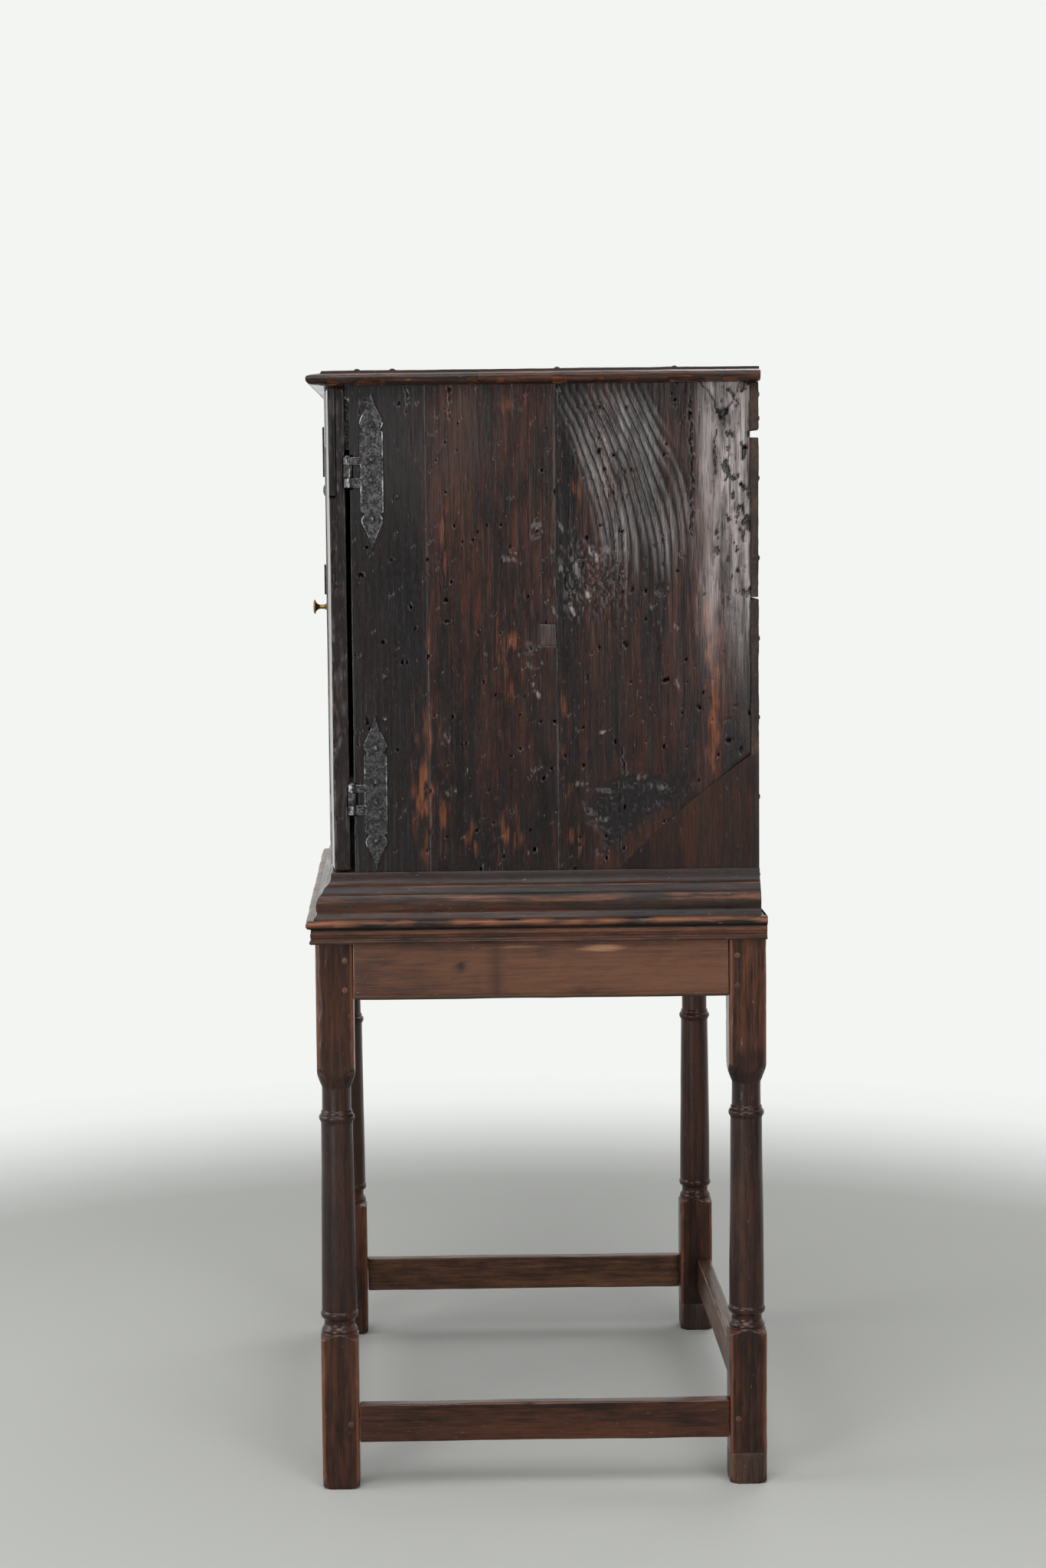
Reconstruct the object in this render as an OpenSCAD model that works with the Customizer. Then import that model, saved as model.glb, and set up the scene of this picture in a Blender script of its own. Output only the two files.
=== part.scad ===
// Cabinet on a turned stand, joined and pegged oak with wrought iron hinges.
// Millimetres. The origin is on the floor below the middle of the stand's top.
// X runs across the front, positive to the cabinet's right-hand side.
// Y runs from the doors (negative) to the back boards, and Z runs up.

/* [Case] */
// Width over the two sides of the case
case_w = 780; // [640:1:960]
// Depth of the sides of the case, front edge to back edge
case_d = 529; // [440:1:620]
// Height of the sides above the base moulding
case_h = 645; // [520:1:760]
// Thickness of the side boards
side_t = 22; // [18:1:26]
// Width of the front board of each side
side_front_w = 100; // [80:1:130]
// Width of the middle board of each side
side_middle_w = 171; // [140:1:200]
// Shrinkage gap between two boards
board_gap = 0.4; // [0.2:0.1:1]
// Thickness of the bottom board
bottom_t = 22; // [16:1:28]
// Thickness of the boards nailed on the back
back_t = 11; // [8:0.5:16]
// Height of the narrow board at the top of the back
back_first_h = 64; // [40:1:100]
// Open joint below that narrow board
back_open = 9; // [2:1:15]
// Number of wide boards below it
back_count = 3; // [2:1:4]

/* [Case top] */
// Thickness of the top
top_t = 18; // [14:1:24]
// Overhang of the top past each side of the case
top_over = 26; // [15:1:35]
// Overhang of the top past the front of the doors
top_front_over = 25; // [15:1:35]
// Depth of the front board of the top, behind the front edge of the sides
top_joint = 169; // [120:1:220]

/* [Base moulding] */
// Height of the moulding round the foot of the case
base_h = 63.5; // [50:0.5:80]
// How far the moulding stands out below its top edge
base_proj = 24.5; // [18:0.5:32]
// Ledge of the moulding past the side of the case
base_reveal = 3.5; // [2:0.5:8]
// Step from the front of the moulding to the front of the doors
front_reveal = 0.5; // [0:0.5:6]
// Setback of the moulding from the edge of the stand's top
base_set = 11; // [6:1:20]

/* [Stand] */
// Height of the top surface of the stand
stand_h = 773.5; // [650:0.5:900]
// Thickness of the board on top of the stand
stand_board_t = 16; // [14:0.5:22]
// Height of the rounded nosing on its edge
nosing_h = 11.5; // [8:0.5:13]
// Depth of the flat under the nosing
nosing_step = 6.5; // [4:0.5:9]
// Height of the small moulding under that board
bead_h = 13; // [10:0.5:18]
// Overhang of the board past the faces of the legs
stand_lip = 12.5; // [9:0.5:18]
// Distance from the back boards to the back of the stand
back_set = 7; // [3:1:15]

/* [Legs] */
// Width of the square parts of a leg
leg_w = 51; // [44:1:60]
// Worn arris on the square parts
leg_arris = 1.6; // [0.5:0.1:4]
// Height of the lower square block
block_h = 212; // [180:1:240]
// Height of the lower ring above the floor
foot_ring_z = 230; // [226:1:245]
// Height of each turned ring
ring_h = 14; // [10:1:18]
// Diameter of the lower ring
foot_ring_d = 50.6; // [44:0.2:51]
// Diameter of the cove below the lower ring
cove_d = 41; // [34:0.5:44]
// Diameter of the shaft at its foot
shaft_foot_d = 47.6; // [42:0.2:49]
// Diameter of the shaft at its head
shaft_head_d = 43; // [38:0.5:46]
// Height of the upper ring above the floor
neck_ring_z = 501; // [480:1:520]
// Diameter of the upper ring
neck_ring_d = 48.6; // [44:0.2:50]
// Diameter of the neck above the upper ring
neck_d = 39.6; // [34:0.2:42]
// Height at which the neck ends and the upper block begins
neck_top_z = 551; // [535:1:570]
// Height of the rounded shoulder below the upper block
shoulder_h = 16; // [10:1:24]
// Height of the new tips let into the back legs
tip_h = 43; // [30:1:55]

/* [Rails and stretchers] */
// Height of a rail below the board
rail_h = 89.5; // [70:0.5:110]
// Thickness of a rail
rail_t = 24; // [20:1:30]
// Chamfer along the lower edge of a rail
rail_chamfer = 7; // [3:0.5:10]
// Height of the underside of a stretcher above the floor
stretcher_z = 64; // [55:1:100]
// Height of a stretcher
stretcher_h = 52; // [40:1:64]
// Thickness of a stretcher
stretcher_t = 21; // [18:1:26]
// Setback of a stretcher from the faces of the legs
stretcher_in = 3; // [1:0.5:8]
// Thickness of the tenons
tenon_t = 9; // [7:0.5:11]
// Length of the tenons
tenon_len = 30; // [24:1:33]
// Shoulder above and below a tenon
tenon_shoulder = 8; // [5:1:12]
// Cheek between the outer face of a rail and its tenon
tenon_cheek = 7.5; // [6:0.5:9]
// Diameter of the oak pegs
peg_d = 8.6; // [6:0.2:10]
// Length of the pegs inside a leg
peg_len = 27; // [20:1:30]
// Distance of the pegs from the inner face of a leg
peg_in = 11.5; // [9:0.5:14]
// How far a peg stands proud of the leg
peg_proud = 0.8; // [0:0.1:2]
// Clearance round pegs and tenons
joint_slip = 0.1; // [0.05:0.05:0.3]

/* [Doors] */
// Thickness of the doors
door_t = 25.5; // [22:0.5:30]
// Gap between a closed door and the front edge of the side
door_gap = 6; // [5:0.5:9]
// Gap between the two doors when both are closed
meeting_gap = 3; // [2:0.5:6]
// Clearance below the doors
door_low = 2.5; // [1.5:0.5:6]
// Clearance above the doors
door_high = 3; // [1.5:0.5:8]
// How far each door stands ajar, in degrees
ajar = 1.8; // [0:0.1:2.5]
// Width of the stiles of a door
stile_w = 72; // [64:1:90]
// Height of the rails of a door
door_rail_h = 74; // [60:1:100]
// Length of the tenons of the door rails
door_tenon_len = 44; // [30:1:55]
// Depth of the groove that holds the panel
groove_d = 9; // [6:1:12]
// Thickness of the edge of the panel
tongue_t = 7; // [5:0.5:9]
// Distance from the face of the door to the panel's edge
tongue_y = 9; // [7:0.5:11]
// Width of the sloping border of the raised panel
field_slope = 26; // [16:1:40]
// Flat margin between the frame and that slope
field_margin = 12; // [4:1:20]
// Rise of the raised panel above its edge
field_rise = 5; // [3:0.5:6]
// Length of the repair let into the edge of the right door
door_patch_h = 142; // [80:1:200]
// Thickness of that repair
door_patch_t = 11.5; // [8:0.5:14]
// Depth of that repair into the stile
door_patch_d = 14; // [8:1:20]
// Slope of the cut at its lower end
door_patch_rake = 7; // [0:1:15]

/* [Hinges] */
// Distance of the middle of the upper hinge below the top of the doors
upper_hinge_drop = 110.5; // [106:0.5:160]
// Height of the middle of the lower hinge above the underside of the doors
lower_hinge_z = 95; // [95:0.5:200]
// Thickness of the leaf on the side of the case
leaf_t = 3; // [2:0.5:4]
// Width of that leaf
leaf_w = 31.5; // [26:0.5:40]
// Height of the straight part of that leaf
leaf_h = 110; // [90:1:130]
// Height of its straight part above the middle of the upper knuckles
leaf_rise = 55; // [45:1:65]
// How much higher the lower leaf sits on its knuckles
low_leaf_lift = 7; // [5:1:12]
// Length of the pointed end at the top
point_top_h = 49; // [35:1:60]
// Length of the pointed end at the bottom
point_low_h = 46; // [30:1:60]
// Distance of the leaf behind the front edge of the side
leaf_set = 13; // [11:1:24]
// Outer diameter of the knuckles
knuckle_d = 10.8; // [9:0.2:13]
// Diameter of the hinge pins
pin_d = 5; // [4:0.5:6]
// Radial clearance between a pin and its knuckles
pin_slip = 0.06; // [0.02:0.01:0.1]
// Diameter of the head of a pin
pin_head_d = 7; // [6.5:0.5:9]
// Height of the head of a pin
pin_head_h = 1.6; // [1:0.1:3]
// Distance of the pins outside the side of the case
pin_out = 1.5; // [0:0.5:3]
// Height of the upper knuckle
knuckle_top_h = 10.5; // [8:0.5:14]
// Height of the middle knuckle, which carries the door
knuckle_mid_h = 16.5; // [12:0.5:20]
// Height of the lower knuckle
knuckle_low_h = 12.5; // [8:0.5:16]
// Gap between neighbouring knuckles
knuckle_gap = 0.5; // [0.3:0.1:1]
// Clearance of the recess cut round the knuckles
recess_slip = 0.9; // [0.5:0.1:1.5]
// Thickness of the leaf on the back of a door
door_leaf_t = 2.5; // [2:0.5:3]
// Length of the leaf on the back of a door
door_leaf_len = 66; // [50:1:70]
// Height of the wide end of that leaf
door_leaf_h = 38; // [30:1:50]

/* [Nails] */
// Diameter of a nail's head
nail_head_d = 9; // [6:0.5:12]
// Height of a nail's head
nail_head_h = 2.6; // [1.5:0.1:4]
// Diameter of a nail's shank
nail_d = 3; // [2:0.2:4]
// Length of a nail's shank
nail_len = 9; // [6:1:10]

// Distances of the loose nails behind the front edge of a side
loose_nail_ys = [61, 42, 42]; // [35:1:90]
// Heights of the loose nails above the base moulding
loose_nail_zs = [499, 261, 205]; // [205:1:500]
// Distances of the nails of the top behind the front edge of the sides
top_nail_ys = [11, 58, 275, 430]; // [10:1:500]

/* [Repairs in the right side] */
// Length of the corner repair, measured from the back
repair_d = 186; // [120:1:220]
// Height of the corner repair above the base moulding
repair_h = 159; // [100:1:200]
// Radius of the curve of its sloping edge
repair_r = 1066; // [800:1:2000]
// Width of the plug between the middle and the back board
plug_w = 24; // [12:1:30]
// Height of the plug
plug_h = 29; // [14:1:32]
// Depth of the plug
plug_t = 6; // [3:0.5:9]
// Distance of the plug behind the front edge of the side
plug_back = 248; // [240:1:266]
// Height of the plug's middle above the base moulding
plug_up = 314; // [280:1:400]

/* [Knob and lock] */
// Distance of the knob and the lock from the meeting edge of the door
lock_x = 30; // [24:1:40]
// Height of the knob above the underside of the doors
knob_z = 339; // [280:1:380]
// Diameter of the knob
knob_d = 20.5; // [16:0.5:28]
// How far the knob stands out
knob_len = 19.5; // [15:0.5:30]
// Diameter of the knob's stem
knob_stem_d = 6.4; // [5:0.2:9]
// Height of the keyhole above the underside of the doors
keyhole_z = 378; // [360:1:420]
// Height of the plate round the keyhole
plate_h = 43; // [36:1:60]
// Width of that plate
plate_w = 27; // [22:1:36]
// Thickness of the iron plates on the door
plate_t = 2.6; // [1.5:0.1:4]
// Distance of the middle of the upper plate below the top of the doors
upper_plate_drop = 79.5; // [46:0.5:90]
// Height of the upper plate
upper_plate_h = 71; // [50:1:90]
// Width of the lock on the back of the door
lock_w = 80; // [70:1:100]
// Height of the lock
lock_h = 56; // [44:1:70]
// Depth of the lock
lock_d = 14; // [12:1:18]
// Thickness of the bolt
bolt_t = 5; // [4:0.5:6]
// Height of the bolt
bolt_h = 14; // [10:1:18]
// Travel of the bolt
bolt_throw = 16; // [14:1:18]
// Length of the bolt
bolt_len = 44; // [38:1:50]
// Width of the keeper on the left door
keeper_w = 8; // [6:1:12]
// Clearance round the bolt in the keeper
keeper_slip = 1.3; // [1:0.1:2]

/* [Shelves and hook] */
// Thickness of the shelves
shelf_t = 18; // [14:1:24]
// Setback of the shelves behind the front edge of the sides
shelf_set = 45; // [40:1:80]
// Height of the lower shelf's top above the bottom board
shelf_low_z = 214; // [180:1:240]
// Height of the upper shelf's top above the bottom board
shelf_high_z = 428; // [400:1:470]
// Width and height of the bearers under the shelves
bearer = 18; // [14:1:24]
// Thickness of the wire of the hook and its staple
hook_d = 4; // [3:0.5:5]
// Distance from the hook's pivot to its bend
hook_len = 38; // [34:1:40]
// Length of its bent tip
hook_tip = 7; // [6:0.5:7.5]
// Height of the hook's pivot above the middle of the shelf
hook_rise = 9.5; // [9:0.5:12]
// Distance of the hook from the meeting edge of the left door
hook_x = 48; // [40:1:56]
// Distance of the hook's pivot behind the door
hook_out = 9; // [8:0.5:11]

/* [Hidden] */
$fn = 48;
eps = 1;

// Colours as the wood and metal look from a step away
oak_case = "#2b1f1b";
oak_stand = "#3a2419";
oak_rail = "#5a3f2f";
oak_warm = "#5d3722";
iron = "#1c1a19";
brass = "#a08452";

// Plan of the case and the stand
case_x = case_w / 2;
stand_w = case_w + 2 * (base_reveal + base_proj + base_set);
stand_d = base_set + base_proj + front_reveal + door_t + door_gap + case_d + back_t + back_set;
stand_x = stand_w / 2;
stand_yf = -stand_d / 2;
stand_yb = stand_d / 2;
base_x = stand_x - base_set;
base_yf = stand_yf + base_set;
fascia_yf = base_yf + base_proj;
door_yf = fascia_yf + front_reveal;
door_yb = door_yf + door_t;
case_yf = door_yb + door_gap;
case_yb = case_yf + case_d;
back_yb = case_yb + back_t;

// Heights
base_top = stand_h + base_h;
case_top = base_top + case_h;
top_z = case_top + top_t;
door_z0 = base_top + door_low;
door_z1 = case_top - door_high;

// Places of the legs
leg_x = stand_x - stand_lip - leg_w / 2;
leg_yf = stand_yf + stand_lip + leg_w / 2;
leg_yb = stand_yb - leg_w / 2;
leg_top = stand_h - stand_board_t;
rail_z = leg_top - rail_h;
corners = [[1, -1], [-1, -1], [1, 1], [-1, 1]];

// Hinge axes, and the heights of the two hinges on each side
pin_x = case_x + pin_out;
pin_y = door_yb + door_gap / 2;
hinge_zs = [door_z1 - upper_hinge_drop, door_z0 + lower_hinge_z];
knuckle_h = knuckle_top_h + knuckle_mid_h + knuckle_low_h + 2 * knuckle_gap;

// Heights in the doors
lock_z = door_z0 + keyhole_z;
door_w = case_x - meeting_gap / 2;
opening_h = door_z1 - door_z0 - 2 * door_rail_h;

// Points on an arc of an ellipse, from angle a0 to a1
function arc(cx, cz, rx, rz, a0, a1, n) =
    [for (i = [0:n]) let (a = a0 + (a1 - a0) * i / n) [cx + rx * cos(a), cz + rz * sin(a)]];

// The same list of points from last to first
function backwards(p) = [for (i = [len(p) - 1:-1:0]) p[i]];

// Shared shapes

// Mirrors its children left to right when on is true
module flip_x(on) {
    if (on) mirror([1, 0, 0]) children();
    else children();
}

// Mirrors its children front to back when on is true
module flip_y(on) {
    if (on) mirror([0, 1, 0]) children();
    else children();
}

// Slab with a moulded edge on its front and both sides and a plain back.
// edge lists [inset, height] pairs from the underside to the top.
module moulded_slab(half_w, y_front, y_back, edge) {
    right = [for (p = edge) [half_w - p[0], p[1]]];
    left = [for (p = backwards(edge)) [p[0] - half_w, p[1]]];
    front = [for (p = backwards(edge)) [y_front + p[0], p[1]]];
    low = edge[0][1];
    high = edge[len(edge) - 1][1];
    intersection() {
        translate([0, y_back, 0])
            rotate([90, 0, 0])
                linear_extrude(y_back - y_front) polygon(concat(right, left));
        translate([-half_w, 0, 0])
            rotate([90, 0, 90])
                linear_extrude(2 * half_w) polygon(concat([[y_back, low], [y_back, high]], front));
    }
}

// Keeps the front, right or left run of a moulding, mitred at the front corners
module moulding_run(part, half_w, y_front, y_back, t, z0, h) {
    x_in = half_w - t;
    y_in = y_front + t;
    front = [[-half_w, y_front], [half_w, y_front], [x_in, y_in], [-x_in, y_in]];
    right = [[half_w, y_front], [half_w, y_back], [x_in, y_back], [x_in, y_in]];
    flip_x(part == "left")
        intersection() {
            children();
            translate([0, 0, z0])
                linear_extrude(h) polygon(part == "front" ? front : right);
        }
}

// Domed nail with its shank going down from the origin
module nail() {
    rotate_extrude()
        polygon(concat(
            [[0, -nail_len], [nail_d / 2, -nail_len], [nail_d / 2, 0], [nail_head_d / 2, 0]],
            arc(0, 0, nail_head_d / 2, nail_head_h, 15, 75, 2),
            [[0, nail_head_h]]));
}

// Hole for the shank of a nail
module nail_hole() {
    translate([0, 0, -nail_len - joint_slip])
        cylinder(d = nail_d + 2 * joint_slip, h = nail_len + joint_slip + eps);
}

// Stand

// Places its children at a leg. Local +X and -Y face out of the stand.
module at_corner(corner) {
    translate([corner[0] * leg_x, corner[1] < 0 ? leg_yf : leg_yb, 0])
        flip_x(corner[0] < 0)
            flip_y(corner[1] > 0)
                children();
}

// Radius that the turning leaves on the square parts, outside their corners
block_r = leg_w * 0.75;

// Outline of a turned leg: square blocks at the foot and head, rings and a swelling shaft between
leg_profile = concat(
    [[0, 0], [leg_w * 0.575, 0], [leg_w * 0.66, 7], [block_r, 20], [block_r, block_h - 7]],
    [[leg_w / 2, block_h], [leg_w / 2 - 1.6, block_h + 1.2], [leg_w / 2 - 0.8, block_h + 3]],
    [[leg_w / 2 - 1.2, block_h + 5.5]],
    arc(cove_d / 2 + 3.4, foot_ring_z - 3.6, 3.4, 6.6, 250, 110, 6),
    [[foot_ring_d / 2 - 2, foot_ring_z + 2]],
    arc(foot_ring_d / 2 - 3.5, foot_ring_z + 8, 3.5, 5.4, -40, 60, 5),
    [[foot_ring_d / 2 - 1.6, foot_ring_z + ring_h], [shaft_foot_d / 2, foot_ring_z + ring_h + 0.6]],
    [[shaft_foot_d / 2 - 0.1, foot_ring_z + ring_h + 60]],
    [[(shaft_foot_d + shaft_head_d) / 4, (foot_ring_z + neck_ring_z) / 2 + 30]],
    [[shaft_head_d / 2, neck_ring_z - 0.6], [neck_ring_d / 2 - 2.2, neck_ring_z]],
    arc(neck_ring_d / 2 - 4, neck_ring_z + 5.6, 4, 5.2, -70, 70, 6),
    [[neck_ring_d / 2 - 2.4, neck_ring_z + ring_h - 2.6], [neck_d / 2 + 1.6, neck_ring_z + ring_h - 2.2]],
    [[neck_d / 2 + 1.2, neck_ring_z + ring_h + 0.6], [neck_d / 2, neck_ring_z + ring_h + 1.6]],
    [[neck_d / 2 - 0.2, neck_top_z - 2], [neck_d / 2 + 0.8, neck_top_z]],
    [[neck_d / 2 + 3.2, neck_top_z + shoulder_h * 0.45], [leg_w * 0.52, neck_top_z + shoulder_h * 0.85]],
    [[block_r, neck_top_z + shoulder_h * 1.5], [block_r, leg_top], [0, leg_top]]);

// Square leg with worn arrises, turned between its blocks, with its mortises and peg holes
module leg() {
    s = leg_w / 2;
    a = leg_arris;
    difference() {
        intersection() {
            linear_extrude(leg_top)
                polygon([[s - a, -s], [s, a - s], [s, s - a], [s - a, s],
                         [a - s, s], [-s, s - a], [-s, a - s], [a - s, -s]]);
            rotate_extrude() polygon(leg_profile);
        }
        mortises();
        corner_pegs(joint_slip);
    }
}

// Height bands of the bars: first the rails, then the stretchers.
// Each is [underside, height, thickness, setback, peg heights].
bars = [
    [rail_z, rail_h, rail_t, 0, [rail_z + 14, rail_z + 54]],
    [stretcher_z, stretcher_h, stretcher_t, stretcher_in, [stretcher_z + stretcher_h / 2]]
];

// Mortises of one leg for the tenons of its rails and stretchers
module mortises() {
    t = tenon_t + 2 * joint_slip;
    d = tenon_len + joint_slip;
    for (bar = bars) {
        z = bar[0] + tenon_shoulder - joint_slip;
        h = bar[1] - 2 * (tenon_shoulder - joint_slip);
        inset = bar[3] + tenon_cheek - joint_slip;
        translate([leg_w / 2 - inset - t, leg_w / 2 - d, z]) cube([t, d + eps, h]);
        translate([-leg_w / 2 - eps, inset - leg_w / 2, z]) cube([d + eps, t, h]);
    }
}

// Pegs through the tenons of one leg, grown by slip to drill their holes
module corner_pegs(slip) {
    proud = slip > 0 ? eps : peg_proud;
    for (bar = bars)
        for (z = bar[4]) {
            translate([leg_w / 2 + proud, leg_w / 2 - peg_in, z])
                rotate([0, -90, 0])
                    cylinder(d = peg_d + 2 * slip, h = peg_len + proud + slip);
            translate([peg_in - leg_w / 2, -leg_w / 2 - proud, z])
                rotate([-90, 0, 0])
                    cylinder(d = peg_d + 2 * slip, h = peg_len + proud + slip);
        }
}

// Rail or stretcher between two legs. Its outer face is at y = 0 and faces -Y.
module bar_body(bar, length, chamfer) {
    tenon_h = bar[1] - 2 * tenon_shoulder;
    translate([-length / 2, 0, bar[0]])
        rotate([90, 0, 90])
            linear_extrude(length)
                polygon([[chamfer * 0.6, 0], [bar[2], 0], [bar[2], bar[1]], [0, bar[1]], [0, chamfer]]);
    translate([-length / 2 - tenon_len, tenon_cheek, bar[0] + tenon_shoulder])
        cube([length + 2 * tenon_len, tenon_t, tenon_h]);
}

// Bar along X between the legs at the front or the back
module cross_bar(i, side, chamfer) {
    difference() {
        flip_y(side > 0)
            translate([0, (side < 0 ? leg_yf : -leg_yb) - leg_w / 2 + bars[i][3], 0])
                bar_body(bars[i], 2 * leg_x - leg_w, chamfer);
        for (sx = [-1, 1])
            at_corner([sx, side]) corner_pegs(joint_slip);
    }
}

// Bar along Y between the legs on the right or the left
module side_bar(i, side, chamfer) {
    difference() {
        flip_x(side < 0)
            translate([leg_x + leg_w / 2 - bars[i][3], (leg_yf + leg_yb) / 2, 0])
                rotate([0, 0, 90])
                    bar_body(bars[i], leg_yb - leg_yf - leg_w, chamfer);
        for (sy = [-1, 1])
            at_corner([side, sy]) corner_pegs(joint_slip);
    }
}

module leg_at(corner) {
    color(oak_stand)
        difference() {
            at_corner(corner) leg();
            if (corner[1] > 0)
                translate([corner[0] * leg_x, leg_yb, tip_h - eps - leg_w])
                    translate([-leg_w, -leg_w, 0]) cube([2 * leg_w, 2 * leg_w, leg_w + eps]);
        }
}

// New wood at the foot of the two back legs
module foot_tips() {
    color(oak_warm)
        for (sx = [-1, 1])
            intersection() {
                at_corner([sx, 1]) leg();
                translate([sx * leg_x - leg_w, leg_yb - leg_w, -eps])
                    cube([2 * leg_w, 2 * leg_w, tip_h + eps - board_gap / 2]);
            }
}

module stand_pegs() {
    color(oak_warm)
        for (c = corners)
            at_corner(c) corner_pegs(0);
}

// Edge of the board on the stand: a round nosing over a narrow flat
stand_edge = concat(
    [[nosing_step, leg_top], [nosing_step, stand_h - nosing_h]],
    arc(nosing_h / 2, stand_h - nosing_h / 2, nosing_h / 2, nosing_h / 2, 260, 100, 8),
    [[nosing_step, stand_h]]);

module stand_top() {
    color(oak_warm)
        moulded_slab(stand_x, stand_yf, stand_yb, stand_edge);
}

// Edge of the small moulding under that board: a bead below a cove
bead_out = 7;
bead_edge = concat(
    [[bead_out, leg_top - bead_h], [1.6, leg_top - bead_h]],
    arc(2.4, leg_top - bead_h + 2.6, 2.4, 2.4, 235, 110, 5),
    [[2.2, leg_top - bead_h + 5.4], [2.6, leg_top - bead_h + 7.2], [1.6, leg_top - 3.4], [1.4, leg_top]]);

module stand_moulding(part) {
    x = stand_x - stand_lip + bead_out;
    y = stand_yf + stand_lip - bead_out;
    color(oak_warm)
        moulding_run(part, x, y, stand_yb, bead_out, leg_top - bead_h, bead_h)
            moulded_slab(x, y, stand_yb, concat(bead_edge, [[bead_out, leg_top]]));
}

// Case

// Edge of the base moulding as shares of its projection and height, from its foot up:
// splayed foot, fillet, swelling round, small hollow, second fillet, large hollow and fascia
base_shares = concat(
    [[0, 0], [0.07, 0.13], [0.15, 0.145], [0.19, 0.16]],
    arc(0.37, 0.29, 0.22, 0.115, 220, 110, 6),
    [[0.4, 0.44], [0.5, 0.535], [0.6, 0.58], [0.64, 0.665], [0.66, 0.685]],
    [[0.71, 0.72], [0.84, 0.775], [0.93, 0.82], [0.98, 0.87], [1, 1]]);
base_edge = [for (p = base_shares) [p[0] * base_proj, stand_h + p[1] * base_h]];

module base_moulding(part) {
    t = base_reveal + base_proj;
    color(oak_warm)
        moulding_run(part, base_x, base_yf, back_yb, t, stand_h, base_h)
            moulded_slab(base_x, base_yf, back_yb, concat(base_edge, [[t, base_top]]));
}

// Heavy rail behind the front moulding, below the doors
module base_rail() {
    y0 = base_yf + base_reveal + base_proj;
    color(oak_case)
        translate([-case_x, y0, stand_h])
            cube([case_w, case_yf - y0, base_h]);
}

module bottom_board() {
    color(oak_case)
        translate([side_t - case_x, case_yf, base_top - bottom_t])
            cube([case_w - 2 * side_t, case_d, bottom_t]);
}

// Nails in the right side: hinge nails first, then loose nails, as [y, z, height above the face]
leaf_y = case_yf + leaf_set + leaf_w / 2;
leaf_tops = [hinge_zs[0] + leaf_rise, hinge_zs[1] + leaf_rise + low_leaf_lift];
hinge_nails = [
    for (z = leaf_tops)
        for (drop = [-7, 39, 65, leaf_h + 7])
            [leaf_y, z - drop, leaf_t]
];
side_nails = [for (i = [0:2]) [case_yf + loose_nail_ys[i], base_top + loose_nail_zs[i], 0]];

// Places its children along the nails of one side, pointing out of its face
module at_side_nails(list) {
    for (n = list)
        translate([case_x + n[2], n[0], n[1]])
            rotate([0, 90, 0]) children();
}

// One board of the right side, between the two distances in span
module side_board(span) {
    difference() {
        translate([case_x - side_t, case_yf + span[0], stand_h])
            cube([side_t, span[1] - span[0], case_top - stand_h]);
        at_side_nails(side_nails) nail_hole();
        at_side_nails(hinge_nails) nail_hole();
        for (hz = hinge_zs) knuckle_recess(hz);
    }
}

// Recess round the knuckles of a hinge, cut into the case and the door alike
module knuckle_recess(hz) {
    r = knuckle_d / 2 + recess_slip;
    translate([pin_x - r, pin_y - r, hz - knuckle_h / 2 - recess_slip])
        cube([2 * r, 2 * r, knuckle_h + pin_head_h + 2 * recess_slip]);
}

// Corner repair at the foot of the right side, over the ends of the back boards.
// Its sloping edge is part of a large circle.
repair_a = atan(repair_h / repair_d);
module corner_repair(slip) {
    mid_y = back_yb - repair_d / 2;
    mid_z = base_top + repair_h / 2;
    rise = sqrt(pow(repair_r, 2) - (pow(repair_d, 2) + pow(repair_h, 2)) / 4);
    out = slip > 0 ? eps : 0;
    intersection() {
        translate([case_x - side_t - out, back_yb - 1.5 * repair_d, base_top - slip])
            cube([side_t + 2 * out, 1.5 * repair_d + out, 1.5 * repair_h]);
        translate([case_x - side_t - eps, mid_y + rise * sin(repair_a), mid_z - rise * cos(repair_a)])
            rotate([0, 90, 0])
                cylinder(r = repair_r + slip, h = side_t + 2 * eps, $fn = 240);
    }
}

module plug(slip) {
    translate([case_x - plug_t - slip, case_yf + plug_back - slip, base_top + plug_up - plug_h / 2 - slip])
        cube([plug_t + slip + (slip > 0 ? eps : 0), plug_w + 2 * slip, plug_h + 2 * slip]);
}

module side_right_repairs() {
    color(oak_warm) {
        difference() {
            corner_repair(0);
            at_back_nails() nail_hole();
        }
        plug(0);
    }
}

// Boards of a side as distances of their two edges from the front
side_front = [0, side_front_w];
side_middle = [side_front_w + board_gap, side_front_w + side_middle_w];
side_back = [side_front_w + side_middle_w + board_gap, case_d];

module side_left(span) {
    color(oak_case)
        mirror([1, 0, 0]) side_board(span);
}

// The right side has two repairs let into it
module side_right(span) {
    color(oak_case)
        difference() {
            side_board(span);
            corner_repair(joint_slip);
            plug(joint_slip);
        }
}

// Edge of the case top: sloping shoulder with a step above a rounded fascia
top_edge = [
    for (p = [[18, 0], [7, 0.07], [2.4, 0.17], [0.4, 0.33], [0, 0.46], [0.3, 0.62], [1.2, 0.68],
              [6, 0.77], [17, 0.84], [19.5, 0.87], [20.5, 1]])
        [p[0], case_top + p[1] * top_t]
];
top_split = case_yf + top_joint;
top_nails = [for (d = top_nail_ys) for (s = [-1, 1]) [s * (case_x - side_t / 2), case_yf + d]];

// Case top, with the holes of its nails
module case_top_slab() {
    difference() {
        moulded_slab(case_x + top_over, door_yf - top_front_over, back_yb, top_edge);
        for (n = top_nails)
            translate([n[0], n[1], top_z]) nail_hole();
    }
}

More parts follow.
